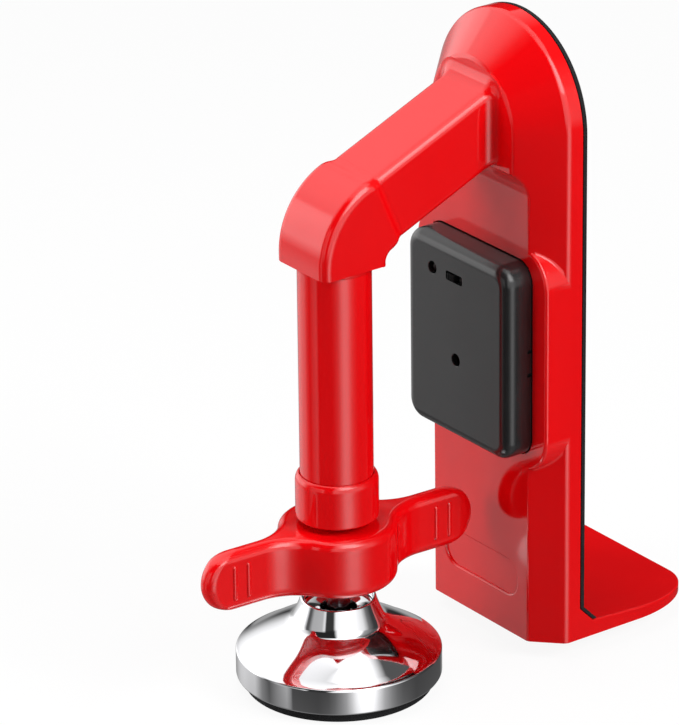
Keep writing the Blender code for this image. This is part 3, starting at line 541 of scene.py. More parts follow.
def lay_forward(piece, at):
    """Turn an upright piece so that its top looks towards -Y, and set it in its place."""
    piece.rotation_euler.x = math.pi / 2
    piece.location = at
    return settle(piece)


def finish(piece, body, material, *nodes, angle=35, weighted=True):
    """Clean normals, soft shading, its finish, the body it rides on and the nodes it stands for."""
    edit(piece)
    outward()
    leave()
    settle(piece)
    bpy.ops.object.shade_smooth_by_angle(angle=math.radians(angle))
    if weighted:
        even = piece.modifiers.new("even_normals", 'WEIGHTED_NORMAL')
        even.keep_sharp = True
        even.weight = 60
        bpy.ops.object.modifier_apply(modifier=even.name)
    piece.data.materials.clear()
    piece.data.materials.append(material)
    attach(piece, body)
    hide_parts(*nodes)


def dress(node, material):
    """Give a CAD node its finish."""
    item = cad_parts[node]
    for spot in item.material_slots:
        spot.material = material
    if not item.material_slots:
        raise RuntimeError(f"{node} has no material slot")


# ---------------- pieces

def arch(name, half, near_y, far_y, low, top):
    """A slab with straight sides and a round top, between two depths. It is left in edit mode."""
    slab = block(name, (-half, near_y, low), (half, far_y, top))
    ease(lambda e: along(e, 1) and mid(e).z > top - half / 2, half * 0.9995, 48)
    merge(half * 0.002)
    return slab


def arm_line():
    """The arm's directions: ahead down its slope, and up square to it."""
    slope = sizes().arm_slope
    return (Vector((0, -math.cos(slope), -math.sin(slope))),
            Vector((0, -math.sin(slope), math.cos(slope))))


class DOORSTOP_OT_plate(bpy.types.Operator):
    """Door plate with its dome, chamfer, alarm rim, panel, arm and flange"""
    bl_idname = "door_stop.plate"
    bl_label = "Door plate"

    def execute(self, context):
        s = sizes()
        half = s.plate_width / 2
        lean = (half - FLAT_HALF) / (BAND - FLAT)
        plate = arch("plate_and_arm", half, BAND, BACK, LOW - 0.012, s.plate_top)
        choose('FACE', lambda f: facing(f, 1, -1))
        bpy.ops.mesh.inset(thickness=lean * (BAND - BOSS), depth=BAND - BOSS,
                           use_even_offset=True)
        for depth in (BAND, BOSS):
            ease(lambda e: between(e, 1, depth) and mid(e).z > 0, s.edge_ease, 5)

        # lower front face, with the hollow curve up to the upper one
        rise, sweep = FLAT - BOSS, 0.0077
        top = BOSS_LOW - math.sqrt(sweep ** 2 - (sweep - rise) ** 2) + sweep
        front = block("front", (-half - 0.01, FLAT - 0.03, LOW - 0.03), (half + 0.01, FLAT, top))
        ease(lambda e: between(e, 2, top) and between(e, 1, FLAT), sweep, 24)
        combine(plate, front)
        edit(plate)
        trim((0, 0, LOW), (0, 0, 1), inner=True)

        # rim round the alarm, level with the lower face
        rim_low, rim_high, corner = 0.05035, 0.10845, 0.0098
        rim = rounded_block("rim", (-half, FLAT, rim_low), (half, BACK - 0.002, rim_high),
                            corner, 16)
        ease(lambda e: between(e, 1, FLAT), 0.0009, 6)
        for more in (rim, self.arm(), self.flange(half)):
            combine(plate, more, 'UNION')

        # pocket for the alarm, then the bare panel
        panel_wide, panel_tall, panel_middle = 0.0144, 0.00475, 0.0191
        for name, wide, tall, middle, depth, corner in (
                ("pocket", 0.0204, 0.0256, ALARM_MIDDLE, 0.0046, 0.0055),
                ("panel", panel_wide, panel_tall, panel_middle, 0.0006, 0.00425)):
            hollow = rounded_block(name, (-wide, FLAT - 0.02, middle - tall),
                                   (wide, FLAT + depth, middle + tall), corner, 12)
            combine(plate, hollow)

        def on_panel(edge):
            return (between(edge, 1, FLAT) and abs(mid(edge).x) < panel_wide + 0.00005
                    and abs(mid(edge).z - panel_middle) < panel_tall + 0.00005)

        def on_chamfer(edge, near_y, far_y):
            return all(abs(abs(v.co.x) - (half - lean * (BAND - v.co.y))) < 0.0001
                       and near_y < v.co.y < far_y for v in edge.verts)

        def on_cut(edge):
            return (mid(edge).z < BOSS_LOW - 0.0001 and not between(edge, 2, LOW)
                    and edge.calc_face_angle(0) > 0.3
                    and on_chamfer(edge, BOSS - 0.0001, FLAT + 2 * NEAR))

        def on_ear(edge):
            return (edge.calc_face_angle_signed(0) < -0.3
                    and on_chamfer(edge, FLAT + 0.0008, BAND - 0.0007))

        edit(plate)
        for test, radius, steps in ((on_panel, 0.0005, 6), (on_cut, 0.0005, 4),
                                    (on_ear, 0.0006, 4)):
            ease(test, radius, steps)
        finish(plate, "stop_body", glossy_moulding("plate_gloss"), "door_plate", angle=20)
        return {'FINISHED'}

    def arm(self):
        """The arm grows out of the upper face on a hollow fillet and runs down to the elbow."""
        s = sizes()
        fall, flare = math.tan(s.arm_slope), 0.0030
        wide = s.arm_width / 2 + flare
        tall = s.arm_height / 2 / math.cos(s.arm_slope)
        root = ARM_ROOT[2]
        bar = rounded_block("arm", (-wide, BOSS, root - tall),
                            (wide, BOSS + 0.003, root + tall + flare), ARM_ROUND + flare, 10)
        choose('FACE', lambda f: facing(f, 1, -1))
        last_shrink = last_out = 0.0
        for i in range(1, 13):
            t = math.pi / 2 * i / 12
            shrink, out = flare * math.sin(t), flare * (1 - math.cos(t))
            bpy.ops.mesh.inset(thickness=shrink - last_shrink, depth=out - last_out)
            shift((0, 0, (last_out - out) * fall))
            # the underside stays on its own line, without a fillet
            cap = BOSS - out
            choose('VERT', lambda v: near(v.co.y, cap) and v.co.z < root)
            shift((0, 0, last_shrink - shrink))
            choose('FACE', lambda f: facing(f, 1, -1) and level(f, 1, cap))
            last_shrink, last_out = shrink, out
        ahead = arm_line()[0]
        draw_out(ahead * 0.045)
        trim(Vector(ARM_ROOT) + ahead * ARM_LENGTH, ahead)
        return bar

    def flange(self, half):
        """The tongue under the door: thinner to its tip, with one big round corner."""
        depth, corner_x, corner_y, about = 0.0402, 0.0142, 0.0214, (0, BACK, LOW)
        squeeze = corner_x / corner_y
        tongue = block("flange", (-half, BACK - 0.002, LOW), (half, BACK + depth, FLANGE_TOP))
        # the big corner is an ellipse, so it is rounded while the tongue is squeezed
        everything()
        resize((1, squeeze, 1), about)
        ease(lambda e: along(e, 2) and mid(e).x > 0 and mid(e).y > BACK, corner_x, 24)
        everything()
        resize((1, 1 / squeeze, 1), about)
        ease(lambda e: along(e, 2) and mid(e).x < 0 and mid(e).y > BACK + 0.03, 0.004, 10)
        trim((0, BACK, FLANGE_TOP), (0, 0.0023, depth))

        def on_rim(edge):
            return (mid(edge).z > LOW + 0.0015 and mid(edge).y > BACK + 0.0005
                    and len(edge.link_faces) == 2
                    and abs(edge.link_faces[0].normal.z - edge.link_faces[1].normal.z) > 0.5)

        ease(on_rim, 0.0004, 5)
        gusset = block("gusset", (-half, BACK - 0.001, LOW + 0.002),
                       (half, BACK + 0.004, GUSSET_TOP))
        trim((0, BACK, GUSSET_TOP), (0, 1, 1))
        combine(tongue, gusset, 'UNION')
        return tongue


class DOORSTOP_OT_pad(bpy.types.Operator):
    """Foam pad over the plate's back, turned down over the gusset"""
    bl_idname = "door_stop.pad"
    bl_label = "Door pad"

    def execute(self, context):
        s = sizes()
        behind = BACK + 0.0015
        pad = arch("pad_foam", s.plate_width / 2, BACK + STEP, behind, GUSSET_TOP, s.plate_top)
        ease(lambda e: between(e, 1, behind) and not between(e, 2, GUSSET_TOP), 0.0004, 3)
        choose('FACE', lambda f: facing(f, 2, -1))
        # the fold: drawn down the 45 degree slope in two steps
        for step in (0.0003, 0.0036):
            draw_out((0, step, -step))
        finish(pad, "stop_body", dull_rubber("pad_foam_rubber", foam=True), "door_pad")
        return {'FINISHED'}


class DOORSTOP_OT_elbow(bpy.types.Operator):
    """Elbow from the sloping arm to the upright post"""
    bl_idname = "door_stop.elbow"
    bl_label = "Elbow"

    def execute(self, context):
        s = sizes()
        slope, proud, soft = s.arm_slope, 0.0009, 0.0042
        ahead, up = arm_line()
        start = Vector(ARM_ROOT) + ahead * (ARM_LENGTH + 2 * NEAR)
        half, wide = s.arm_height / 2, s.arm_width / 2

        # each section: its middle, its height as a vector and its half width. The first ones are
        # the soft step up from the arm, quicker at the sides
        sections = []
        for i in range(13):
            share = i / 12
            grow, sideways = (proud * (1 - math.cos(math.pi * t)) / 2
                              for t in (share, min(share / 0.6, 1)))
            sections.append((start + ahead * soft * share, up * 2 * (half + grow),
                             wide + sideways))

        # the others follow two arcs, over the top and underneath, down to the post
        face = start + ahead * soft
        turn = math.pi / 2 - slope
        columns = []
        for side, wall in ((1, POST_Y - 0.0101), (-1, POST_Y + 0.0090)):
            first = face + up * (half + proud) * side
            corner = first.z - (first.y - wall) * math.tan(slope)
            run = min(corner - ELBOW_LOW, (first.y - wall) / math.cos(slope)) * 0.985
            radius = run / math.tan(turn / 2)
            points = arc(wall + radius, corner - run, radius, 90 + math.degrees(slope), 180, 28)
            columns.append([Vector((0, *point)) for point in points + [(wall, ELBOW_LOW)]])
        sections += [((a + b) / 2, (a - b), wide + proud) for a, b in zip(*columns)]

        # first section: a slab just behind the arm's end, its long edges rounded
        centre, span, across = sections[0]
        bend = rounded_block("elbow_shell", (-across, -0.0004, -span.length / 2),
                             (across, 0, span.length / 2), ARM_ROUND, 10)
        everything()
        angle = math.atan2(-span.y, span.z)
        self.tip(angle, (0, 0, 0))
        shift(centre)
        choose('FACE', lambda f: f.normal.dot(ahead) > 0.99)
        for spot, gap, new_across in sections[1:]:
            draw_out(spot - centre)
            new = math.atan2(-gap.y, gap.z)
            # upright, stretched to the new section, then leaned to the new angle
            self.tip(-angle, spot)
            resize((new_across / across, 1, gap.length / span.length), spot)
            self.tip(new, spot)
            centre, span, across, angle = spot, gap, new_across, new
        ease(lambda e: between(e, 2, ELBOW_LOW, 0.0001), 0.0005, 4)
        finish(bend, "stop_body", glossy_moulding("elbow_gloss"), "elbow_housing")
        return {'FINISHED'}

    def tip(self, angle, about):
        """Lean what is selected about X, towards +Z from -Y for a positive angle."""
        if abs(angle) > 1e-9:
            bpy.ops.transform.rotate(value=-angle, orient_axis='X', center_override=about)


class DOORSTOP_OT_post(bpy.types.Operator):
    """Post with its neck ring, and the collar at its foot"""
    bl_idname = "door_stop.post"
    bl_label = "Post and collar"

    def execute(self, context):
        s = sizes()
        r, bore, low, top, lip = s.post_radius, 0.0070, 0.0459, POST_TOP, 0.0003
        ring, spigot = r + 0.0004 - lip, r - 0.00215
        profile = [(0, top - 0.0012), (bore - 0.0012, top - 0.0012), (bore, top - 0.0024),
                   (bore, low), (r, low), (r, top - 0.0013)]
        profile += arc(ring, top - 0.0009, lip, -80, 0, 4) + arc(ring, top - lip, lip, 0, 80, 4)
        profile += [(spigot, top), (spigot, top + 0.0045), (0, top + 0.0045)]
        finish(turned("post_shell", profile), "stop_body", glossy_moulding("post_gloss"),
               "post_tube")

        r, bore, low, high, soft = s.collar_radius, 0.0073, 0.0448, 0.0561, 0.0005
        inner, floor = s.post_radius + STEP, low + 0.0008
        profile = [(bore, low)] + arc(r - soft, low + soft, soft, -90, 0, 5)
        profile += [(r - 0.0012 * (1 - a), high - 0.0021 * (1 - b))
                    for a, b in arc(0, 0, 1, 0, 84, 10)]
        profile += [(inner, high), (inner, floor), (bore, floor)]
        finish(turned("collar_shell", profile), "stop_body", glossy_moulding("collar_gloss"),
               "post_collar")
        return {'FINISHED'}


class DOORSTOP_OT_handle(bpy.types.Operator):
    """Wing handle: hub, two wings with round ends, hollow fillets and grip beads"""
    bl_idname = "door_stop.handle"
    bl_label = "Wing handle"

    def execute(self, context):
        s = sizes()
        low, high, soft = HANDLE_LOW, HANDLE_HIGH, 0.0023
        middle, tall = (low + high) / 2, (high - low) / 2
        thick, reach = s.wing_thickness / 2, s.wing_reach

        # a thin slice at mid height, in the handle's plan
        thin = 0.0004
        outline = self.outline(0.0145, 0.0130, thick, reach)
        body = plotted("handle_wings", [(*spot, middle - thin) for spot in outline], 'NGON')
        everything()
        draw_out((0, 0, 2 * thin))
        outward()

        # drawn up and down from the slice, the ends moving in to a half circle, the rims rounded
        levels = [(tall * k, 0.0) for k in (0.16, 0.28, 0.4, 0.5, 0.6, 0.68)
                  if tall * k < tall - soft - 0.0002]
        levels += [(tall - soft * (1 - b), soft * (1 - a)) for a, b in arc(0, 0, 1, 0, 90, 7)]
        for way in (1, -1):
            choose('FACE', lambda f: facing(f, 2, way))
            at, inset, bow = thin, 0.0, tall - math.sqrt(tall ** 2 - thin ** 2)
            for height, shrink in levels:
                new_bow = tall - math.sqrt(max(tall ** 2 - height ** 2, 0))
                if shrink - inset > 1e-7:
                    bpy.ops.mesh.inset(thickness=shrink - inset, depth=height - at,
                                       use_even_offset=True)
                else:
                    draw_out((0, 0, (height - at) * way))
                cap = middle + height * way
                for end in (1, -1):
                    choose('VERT', lambda v: near(v.co.z, cap)
                           and v.co.y * end > reach - thick - bow - 0.0004)
                    shift((0, (bow - new_bow) * end, 0))
                choose('FACE', lambda f: facing(f, 2, way) and level(f, 2, cap))
                at, inset, bow = height, shrink, new_bow
        leave()
        body.rotation_euler.z = s.wing_turn
        body.location.y = POST_Y
        settle(body)

        # boss under the collar, hexagon pocket below, bore for the screw
        r, top = 0.0066, 0.0445
        boss = turned("boss", [(0, high - 0.001), (r, high - 0.001), (r, top - 0.0003),
                               (r - 0.0003, top), (0, top)], facets=72)
        combine(body, boss, 'UNION')
        for name, radius, under, over, sides in (
                ("pocket", HEX_CORNER + 0.0006, low - 0.002, low + 0.0089, 6),
                ("bore", 0.0051, low + 0.005, 0.05, 48)):
            combine(body, turned(name, [(0, under), (radius, under), (radius, over), (0, over)],
                                 facets=sides))

        # grip beads: one is made, the others are its copies
        bead, proud, long = 0.0007, 0.0004, 0.0093
        under, over = middle - long / 2, middle + long / 2
        first = turned("bead", [(0, under)] + arc(0, under + bead, bead, -70, 0, 5)
                       + arc(0, over - bead, bead, 0, 70, 5) + [(0, over)], at=(0, 0), facets=20)
        beads = []
        for spot in [Vector((side * (thick + proud - bead), wing * (reach - place), 0))
                     for place in (0.0077, 0.0116) for wing in (1, -1) for side in (1, -1)]:
            only(first)
            bpy.ops.object.duplicate()
            copy = bpy.context.object
            spot.rotate(Matrix.Rotation(s.wing_turn, 3, 'Z'))
            copy.location += spot + Vector((0, POST_Y, 0))
            beads.append(settle(copy))
        bpy.data.objects.remove(first, do_unlink=True)
        take_in(body, *beads)
        finish(body, "handle", glossy_moulding("handle_gloss"), "wing_handle")
        return {'FINISHED'}

    def outline(self, hub, fillet, thick, reach):
        """Plan of the hub, the hollow fillets and the two wings about the post's axis."""
        cx = thick + fillet
        cy = math.sqrt((hub + fillet) ** 2 - cx ** 2)
        lean = math.degrees(math.atan2(cy, cx))
        quarter = arc(0, 0, hub, 0, lean, 14)[:-1]
        quarter += arc(cx, cy, fillet, 180 + lean, 180, 16)
        quarter += arc(0, reach - thick, thick, 0, 90, 9)
        half = quarter + [(-x, y) for x, y in reversed(quarter[1:-1])]
        return half + [(-x, -y) for x, y in half]


class DOORSTOP_OT_screw(bpy.types.Operator):
    """Lead screw with its thread, hexagon, neck and ball"""
    bl_idname = "door_stop.screw"
    bl_label = "Lead screw"

    def execute(self, context):
        crest, root, pitch, low, top = 0.0048, 0.0039, sizes().thread_pitch, 0.0367, 0.1044
        # one tooth of the thread, as radii and shares of the pitch
        tooth = ((root, 0.0), (root, 0.30), (crest, 0.42), (crest, 0.72), (root, 0.84))
        first, share = low - pitch, tooth[-1][1]
        rod = plotted("screw_thread", [(r, POST_Y, first + k * pitch) for r, k in tooth])
        choose('EDGE', lambda e: {v.index for v in e.verts} == {0, 4})
        bpy.ops.mesh.delete(type='EDGE')
        choose('VERT', lambda v: near(v.co.z, first + share * pitch))
        bpy.ops.mesh.extrude_vertices_move(
            TRANSFORM_OT_translate={"value": (0, 0, (1 - share) * pitch)})
        # the thread is wound about the post's axis
        bpy.context.scene.cursor.location = (0, POST_Y, 0)
        only(rod)
        bpy.ops.object.origin_set(type='ORIGIN_CURSOR')
        wind = rod.modifiers.new("thread", 'SCREW')
        wind.axis = 'Z'
        wind.screw_offset = pitch
        wind.iterations = int((top - low) / pitch) + 3
        wind.steps = wind.render_steps = 40
        wind.use_merge_vertices = True
        wind.merge_threshold = NEAR
        bpy.ops.object.modifier_apply(modifier=wind.name)
        settle(rod)
        edit(rod)
        merge()
        trim((0, 0, low), (0, 0, 1), inner=True)
        trim((0, 0, top), (0, 0, 1))

        corner, soft, under, over = HEX_CORNER, 0.0004, 0.0284, 0.0364
        hexagon = turned("hexagon", [(0, under), (corner - soft, under), (corner, under + soft),
                                     (corner, over - soft), (corner - soft, over), (0, over)],
                         facets=6)
        neck, radius = 0.0030, 0.0052
        ball = arc(0, BALL_HEIGHT, radius, -90, 90 - math.degrees(math.asin(neck / radius)), 24)
        ball[0] = (0, ball[0][1])
        ball = turned("ball", ball + [(neck, 0.0278), (neck + soft, under), (crest, 0.0286),
                                      (crest, 0.0370), (0, 0.0370)], facets=64)
        take_in(rod, hexagon, ball)
        finish(rod, "handle", worked_metal("screw_zinc", (0.80, 0.80, 0.82), 0.13, (1, 1, 8)),
               "lead_screw", weighted=False)
        return {'FINISHED'}


class DOORSTOP_OT_foot(bpy.types.Operator):
    """Plated swivel foot, its rubber ring and the ring that holds the ball"""
    bl_idname = "door_stop.foot"
    bl_label = "Swivel foot"

    def execute(self, context):
        ball, rim = BALL_HEIGHT, sizes().foot_radius
        seat, groove, cup, crease = 0.0079, 0.0084, 0.0093, 0.0121
        ring_low = ball + 0.0062
        ring_top = ring_low + 0.0011
        # from the underside, round the outside, back into the cup and down to the ball's seat
        profile = [(0, 0.0038), (0.0235, 0.0038), (0.0235, 0.0028)]
        profile += arc(rim - 0.0005, 0.0033, 0.0005, -90, 0, 4)
        profile += arc(rim - 0.0007, 0.0089, 0.0007, 0, 62, 5)
        low, high = Vector((rim - 0.0012, 0.0098)), Vector((crease + 0.0012, 0.0161))
        bulge = Vector((0.0, 0.00035))
        profile += [tuple(low.lerp(high, i / 8) + bulge * math.sin(math.pi * i / 8))
                    for i in range(9)]
        profile += [(crease + 0.0002, 0.0166), (crease - 0.0004, 0.0171),
                    (crease - 0.0010, 0.0180), (cup + 0.0010, 0.0198), (cup + 0.0005, 0.0210),
                    (cup + 0.0002, 0.0219)]
        lip = 0.00045
        profile += arc(cup - lip, MOUTH - lip, lip, 0, 180, 8)
        profile[-1] = (groove, MOUTH - 0.0004)
        over, under, deep = ring_top + STEP, ring_low - STEP, groove + 0.0005
        profile += [(groove, over), (deep, over), (deep, under), (groove, under),
                    (groove, ball + 0.0005)]
        profile += arc(0, ball, seat, 0, -90, 20)
        profile[-1] = (0, ball - seat)
        cone = turned("foot_cone", profile, facets=160)
        finish(cone, "foot", bright_plating("cone_chrome"), "foot_base")

        profile = [(0, 0.0006), (0.0155, 0.0006), (0.0160, 0)]
        profile += arc(0.0227, 0.0005, 0.0005, -90, 0, 5) + [(0.0232, 0.0035), (0, 0.0035)]
        sole = turned("foot_sole", profile, facets=128)
        finish(sole, "foot", dull_rubber("sole_rubber"), "foot_pad")

        # the ring's top is dished towards its hole
        hole, outer, dish = 0.0046, groove + 0.0002, 0.0006
        profile = [(hole, ring_low), (outer, ring_low), (outer, ring_top)]
        profile += [(hole + 0.0006 + 0.0030 * (1 - k), ring_top - dish * k * k)
                    for k in (0, 0.25, 0.5, 0.75, 1)]
        ring = turned("ball_ring", profile + [(hole, ring_top - 0.0009)])
        finish(ring, "foot", bright_plating("ring_chrome"), "ball_retainer")
        return {'FINISHED'}


class DOORSTOP_OT_alarm(bpy.types.Operator):
    """Alarm case with its lamp hole, switch slot, sound hole and snap notches"""
    bl_idname = "door_stop.alarm"
    bl_label = "Alarm case"

    def execute(self, context):
        corner, wall = sizes().alarm_corner, 0.0014
        low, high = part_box("alarm_case")
        front, middle = low[1], (low[2] + high[2]) / 2
        case = rounded_block("alarm_shell", low, high, corner, 14)
        ease(lambda e: between(e, 1, front), 0.0031, 10)
        hollow = rounded_block("hollow", (low[0] + wall, BACK - 0.0142, low[2] + wall),
                               (high[0] - wall, high[1] + 0.002, high[2] - wall),
                               corner - wall, 8)
        choose('FACE', lambda f: facing(f, 1, -1))
        bpy.ops.mesh.inset(thickness=0.0016, depth=0)
        draw_out((0, -0.0030, 0))
        combine(case, hollow)

        lamp_x, lamp_z = -0.0092, 0.0969
        for x, z in ((lamp_x, lamp_z), (0.0, 0.0755)):
            self.hole(case, (x, front, z))
        slot = rounded_block("slot", (-0.0038, front - 0.002, 0.0956),
                             (0.0026, front + 0.003, 0.0980), 0.0005, 4)
        combine(case, slot)
        for side in (1, -1):
            for step in (1, -1):
                x, z = side * high[0], middle + step * 0.00305
                notch = rounded_block("notch", (x - 0.0007, FLAT - 0.0014, z - 0.00045),
                                      (x + 0.0007, FLAT, z + 0.00045), 0.0002, 2)
                combine(case, notch)
        finish(case, "stop_body", satin_moulding("case_satin", colour("case")), "alarm_case")

        # the lamp stands a little back in its hole
        radius, base = 0.0014, -0.0016
        dome = arc(0, 0, radius, 0, 90, 10)
        dome[-1] = (0, radius)
        lens = turned("lamp", [(0, base), (radius, base)] + dome, at=(0, 0), facets=40)
        lay_forward(lens, (lamp_x, front + 0.0020, lamp_z))
        finish(lens, "stop_body", lamp_lens("lamp_epoxy"), "alarm_led")
        return {'FINISHED'}

    def hole(self, case, at):
        """A hole with a small countersink, cut through the front."""
        radius, rim = 0.0016, 0.0018
        drill = turned("drill", [(0, -0.003), (radius, -0.003), (radius, -0.0001), (rim, 0.0001),
                                 (rim, 0.001), (0, 0.001)], at=(0, 0), facets=48)
        combine(case, lay_forward(drill, at))


class DOORSTOP_OT_knob(bpy.types.Operator):
    """Ribbed knob of the slide switch"""
    bl_idname = "door_stop.knob"
    bl_label = "Switch knob"

    def execute(self, context):
        low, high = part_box("switch_knob")
        front = low[1]
        knob = rounded_block("knob_cap", low, high, 0.00025, 3)
        ease(lambda e: between(e, 1, front), 0.00015, 2)
        half, pitch = 0.00013, 0.0007
        for i in (-1, 0, 1):
            x = (low[0] + high[0]) / 2 + i * pitch
            groove = block("groove", (x - half, front - 0.001, low[2] - 0.001),
                           (x + half, front + 0.00035, high[2] + 0.001))
            ease(lambda e: along(e, 2) and mid(e).y > front, 0.00008, 2)
            combine(knob, groove)
        plastic = satin_moulding("knob_plastic", (0.0015, 0.0015, 0.0017), 0.55, ior=1.2)
        finish(knob, "switch", plastic, "switch_knob")
        return {'FINISHED'}


class DOORSTOP_OT_inside(bpy.types.Operator):
    """Finishes of the pieces inside the alarm, the post and the foot"""
    bl_idname = "door_stop.inside"
    bl_label = "Inner pieces"

    def execute(self, context):
        # of each: the piece, then the name, the colour, the roughness and the grain
        for node, *plastic in (
                ("alarm_cover", "cover_satin", colour("case"), 0.5),
                ("alarm_tape", "tape_paper", (0.68, 0.67, 0.62), 0.8, 2500, 0.00004),
                ("swivel_shell", "shell_acetal", (0.72, 0.71, 0.67), 0.4, 2500),
                ("seat_liner", "liner_nylon", (0.04, 0.04, 0.045), 0.5, 2500)):
            dress(node, satin_moulding(*plastic))
        for node, *metal in (
                # the sounder is painted near-black, as painted shade for its hole in the case
                ("piezo_disc", "sounder_bronze", (0.035, 0.026, 0.018), 0.4),
                ("switch_body", "switch_tin", (0.60, 0.60, 0.60), 0.35),
                ("shock_sensor", "sensor_nickel", (0.66, 0.64, 0.60), 0.25, (6, 1, 1)),
                *((f"battery_cell_{i}", f"cell_nickel_{i}", (0.70, 0.70, 0.70), 0.22)
                  for i in (1, 2, 3)),
                *((f"battery_strip_{side}", f"strip_brass_{side}", (0.75, 0.60, 0.28), 0.3)
                  for side in ("rear", "front")),
                ("drive_nut", "nut_brass", (0.70, 0.52, 0.24), 0.3)):
            dress(node, worked_metal(*metal))
        dress("alarm_board", circuit_laminate("board_laminate"))
        return {'FINISHED'}


# ---------------- floor, light and camera

def lamp(name, at, side, power):
    """A square lamp, turned to the middle of the door stop."""
    light = bpy.data.lights.new(name, 'AREA')
    light.shape = 'RECTANGLE'
    light.size = light.size_y = side
    light.energy = power
    item = bpy.data.objects.new(name, light)
    item.location = at
    away = Vector(at) - Vector((0, -0.01, 0.08))
    item.rotation_euler = away.to_track_quat('Z', 'Y').to_euler()
    item.visible_glossy = False
    bpy.context.collection.objects.link(item)


# What gloss sees around it: rings of soft boxes and dark cards, each drawn as (compass angle in
# degrees, brightness), and the heights between which one ring gives way to the next
BRIGHTEST = 6.0
RINGS = (
    ((-180, 0.25), (-130, 0.20), (-60, 0.10), (0, 0.45), (60, 0.10), (180, 0.25)),
    ((-180, 0.80), (-169, 0.88), (-157, 0.82), (-145, 0.80), (-133, 0.25), (-121, 0.06),
     (-109, 0.30), (-97, 0.52), (-92, 0.30), (-90, 0.04), (-48, 0.04), (-41, 0.10), (-34, 0.24),
     (-28, 0.42), (-22, 0.85), (-16, 1.45), (-9, 1.9), (2, 1.75), (9, 1.05), (16, 0.50),
     (25, 0.22), (32, 0.10), (40, 0.05), (120, 0.05), (133, 0.40), (155, 0.33), (167, 0.55),
     (180, 0.80)),
    ((-180, 1.7), (-160, 1.9), (-142, 2.3), (-130, 1.1), (-122, 0.10), (-116, 0.10),
     (-106, 0.45), (-80, 0.50), (-73, 0.90), (-69, 0.04), (-50, 0.04), (-43, 1.1), (0, 1.4),
     (30, 0.9), (45, 0.2), (60, 0.05), (155, 0.02), (165, 0.9), (180, 1.7)),
    ((-180, 1.3), (-155, 1.4), (-130, 0.9), (-112, 0.2), (-100, 0.02), (-48, 0.02), (-30, 2.2),
     (-20, 4.6), (4, 5.2), (17, 2.2), (32, 0.4), (60, 0.1), (115, 0.1), (140, 0.7), (160, 1.0),
     (180, 1.3)),
    ((-180, 1.3), (-100, 0.9), (-30, 1.8), (15, 1.8), (75, 1.3), (180, 1.3)),
)
RING_STEPS = ((-0.52, -0.42), (-0.20, -0.03), (0.42, 0.46), (0.88, 0.94))


def ring_of_light(sky, angle, stops):
    """Brightness round the compass, from a ramp."""
    ramp = sky.new("ShaderNodeValToRGB")
    points = ramp.color_ramp.elements
    for place, _ in stops[1:-1]:
        points.new((place + 180) / 360)
    for point, (place, bright) in zip(points, stops):
        point.position = (place + 180) / 360
        point.color = (*3 * [bright / BRIGHTEST], 1)
    sky.join(angle, ramp.inputs["Fac"])
    return ramp.outputs["Color"]


def lit_surround(sky):
    """The surround that gloss shows, ring above ring."""
    place = sky.new("ShaderNodeTexCoord").outputs["Generated"]
    compass = sky.new("ShaderNodeTexGradient")
    compass.gradient_type = 'RADIAL'
    height = sky.new("ShaderNodeSeparateXYZ")
    for node in (compass, height):
        sky.join(place, node.inputs["Vector"])
    shown, *above = [ring_of_light(sky, compass.outputs["Fac"], stops) for stops in RINGS]
    for ring, (low, high) in zip(above, RING_STEPS):
        shown = sky.tint(sky.spread(height.outputs["Z"], 0, 1, low, high), shown, ring)
    glow = sky.new("ShaderNodeBackground", Strength=BRIGHTEST)
    sky.join(shown, glow.inputs["Color"])
    return glow.outputs[0]


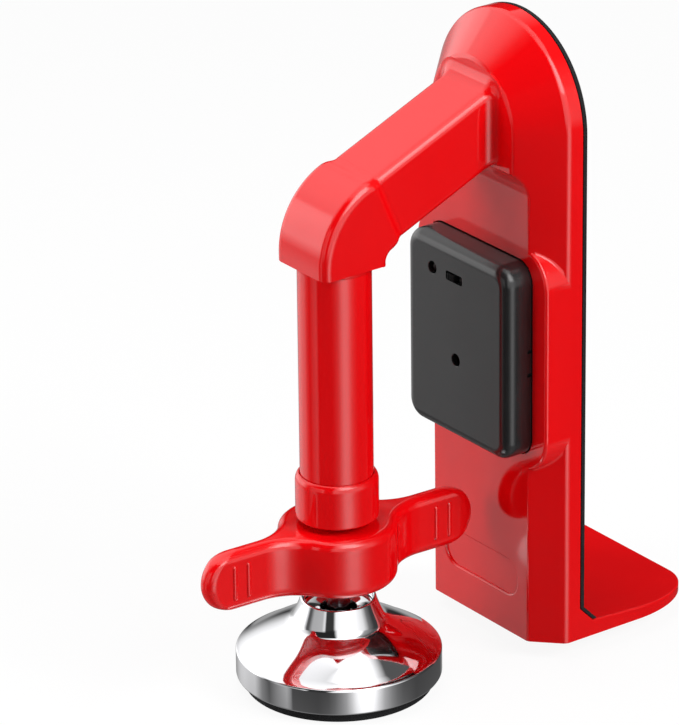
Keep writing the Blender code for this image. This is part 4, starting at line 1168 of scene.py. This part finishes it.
class DOORSTOP_OT_stage(bpy.types.Operator):
    """Pale floor, soft light and the camera"""
    bl_idname = "door_stop.stage"
    bl_label = "Stage"

    def execute(self, context):
        world = context.scene.world or bpy.data.worlds.new("studio")
        context.scene.world = world
        world.use_nodes = True
        world.node_tree.nodes.clear()
        sky = Nodes(world.node_tree)
        ray = sky.new("ShaderNodeLightPath").outputs
        seen = sky.new("ShaderNodeMath")
        seen.operation = 'MAXIMUM'
        sky.join(ray["Is Camera Ray"], seen.inputs[0])
        sky.join(ray["Is Transmission Ray"], seen.inputs[1])
        soft, white = (sky.new("ShaderNodeBackground", Color=(1, 1, 1, 1), Strength=strength)
                       for strength in (0.16, 1.0))
        plain = sky.blend(seen.outputs[0], soft.outputs[0], white.outputs[0])
        light = sky.blend(ray["Is Glossy Ray"], plain, lit_surround(sky))
        sky.join(light, sky.new("ShaderNodeOutputWorld").inputs["Surface"])

        clear()
        bpy.ops.mesh.primitive_plane_add(size=6, location=(0, 0, 0))
        floor = context.object
        floor.name = "pale_floor"
        # to the camera the paper glows for the most part, so only soft shade is left on it
        paper = Finish("floor_paper")
        paper.set(Base_Color=(0.55, 0.55, 0.55, 1), Roughness=0.9, Specular_IOR_Level=0.1)
        glow = paper.new("ShaderNodeEmission", Strength=1.04)
        share = paper.new("ShaderNodeMath")
        share.operation = 'MULTIPLY'
        share.inputs[1].default_value = 0.88
        paper.join(paper.new("ShaderNodeLightPath").outputs["Is Camera Ray"], share.inputs[0])
        mixed = paper.blend(share.outputs[0], paper.shader.outputs[0], glow.outputs[0])
        paper.join(mixed, paper.tree.nodes["Material Output"].inputs["Surface"])
        floor.data.materials.append(paper.material)
        floor.visible_glossy = False

        lamp("side_box", (0.705, 0.319, 0.625), 0.5, 9.0)
        lamp("front_box", (-0.37, -0.80, 0.33), 0.5, 4.8)
        lamp("top_box", (-0.15, -0.15, 1.00), 0.6, 5.9)

        right, up, back = ((0.59311, 0.80504, -0.01103), (-0.31418, 0.24405, 0.91746),
                           (0.74129, -0.54069, 0.39768))
        view = bpy.data.cameras.new("photo_view")
        view.sensor_width = 36
        view.lens = 275.7
        view.clip_start, view.clip_end = 0.01, 20
        item = bpy.data.objects.new("photo_view", view)
        item.matrix_world = Matrix((*zip(right, up, back, (0.9826, -0.74385, 0.6113)),
                                    (0, 0, 0, 1)))
        context.collection.objects.link(item)
        context.scene.camera = item
        context.scene.view_settings.view_transform = 'Standard'
        return {'FINISHED'}


class DOORSTOP_PT_panel(bpy.types.Panel):
    """Sizes, colours and the pieces of the door stop, in the order they are built"""
    bl_idname = "DOORSTOP_PT_panel"
    bl_label = "Door stop alarm"
    bl_space_type = 'VIEW_3D'
    bl_region_type = 'UI'
    bl_category = "Door stop"

    def draw(self, context):
        for group in (context.scene.door_stop_sizes, context.scene.door_stop_colours):
            column = self.layout.column(align=True)
            for name in group.__annotations__:
                column.prop(group, name)
        column = self.layout.column(align=True)
        for step in STEPS:
            column.operator(step.bl_idname)


STEPS = (DOORSTOP_OT_stage, DOORSTOP_OT_plate, DOORSTOP_OT_pad, DOORSTOP_OT_elbow,
         DOORSTOP_OT_post, DOORSTOP_OT_handle, DOORSTOP_OT_screw, DOORSTOP_OT_foot,
         DOORSTOP_OT_alarm, DOORSTOP_OT_knob, DOORSTOP_OT_inside)
CLASSES = (DoorStopSizes, DoorStopColours, *STEPS, DOORSTOP_PT_panel)


def register():
    for item in CLASSES:
        bpy.utils.register_class(item)
    bpy.types.Scene.door_stop_sizes = PointerProperty(type=DoorStopSizes)
    bpy.types.Scene.door_stop_colours = PointerProperty(type=DoorStopColours)


def unregister():
    del bpy.types.Scene.door_stop_colours
    del bpy.types.Scene.door_stop_sizes
    for item in reversed(CLASSES):
        bpy.utils.unregister_class(item)


def main():
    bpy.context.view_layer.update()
    register()
    for step in STEPS:
        area, name = step.bl_idname.split(".")
        getattr(getattr(bpy.ops, area), name)()


if __name__ == "__main__":
    main()
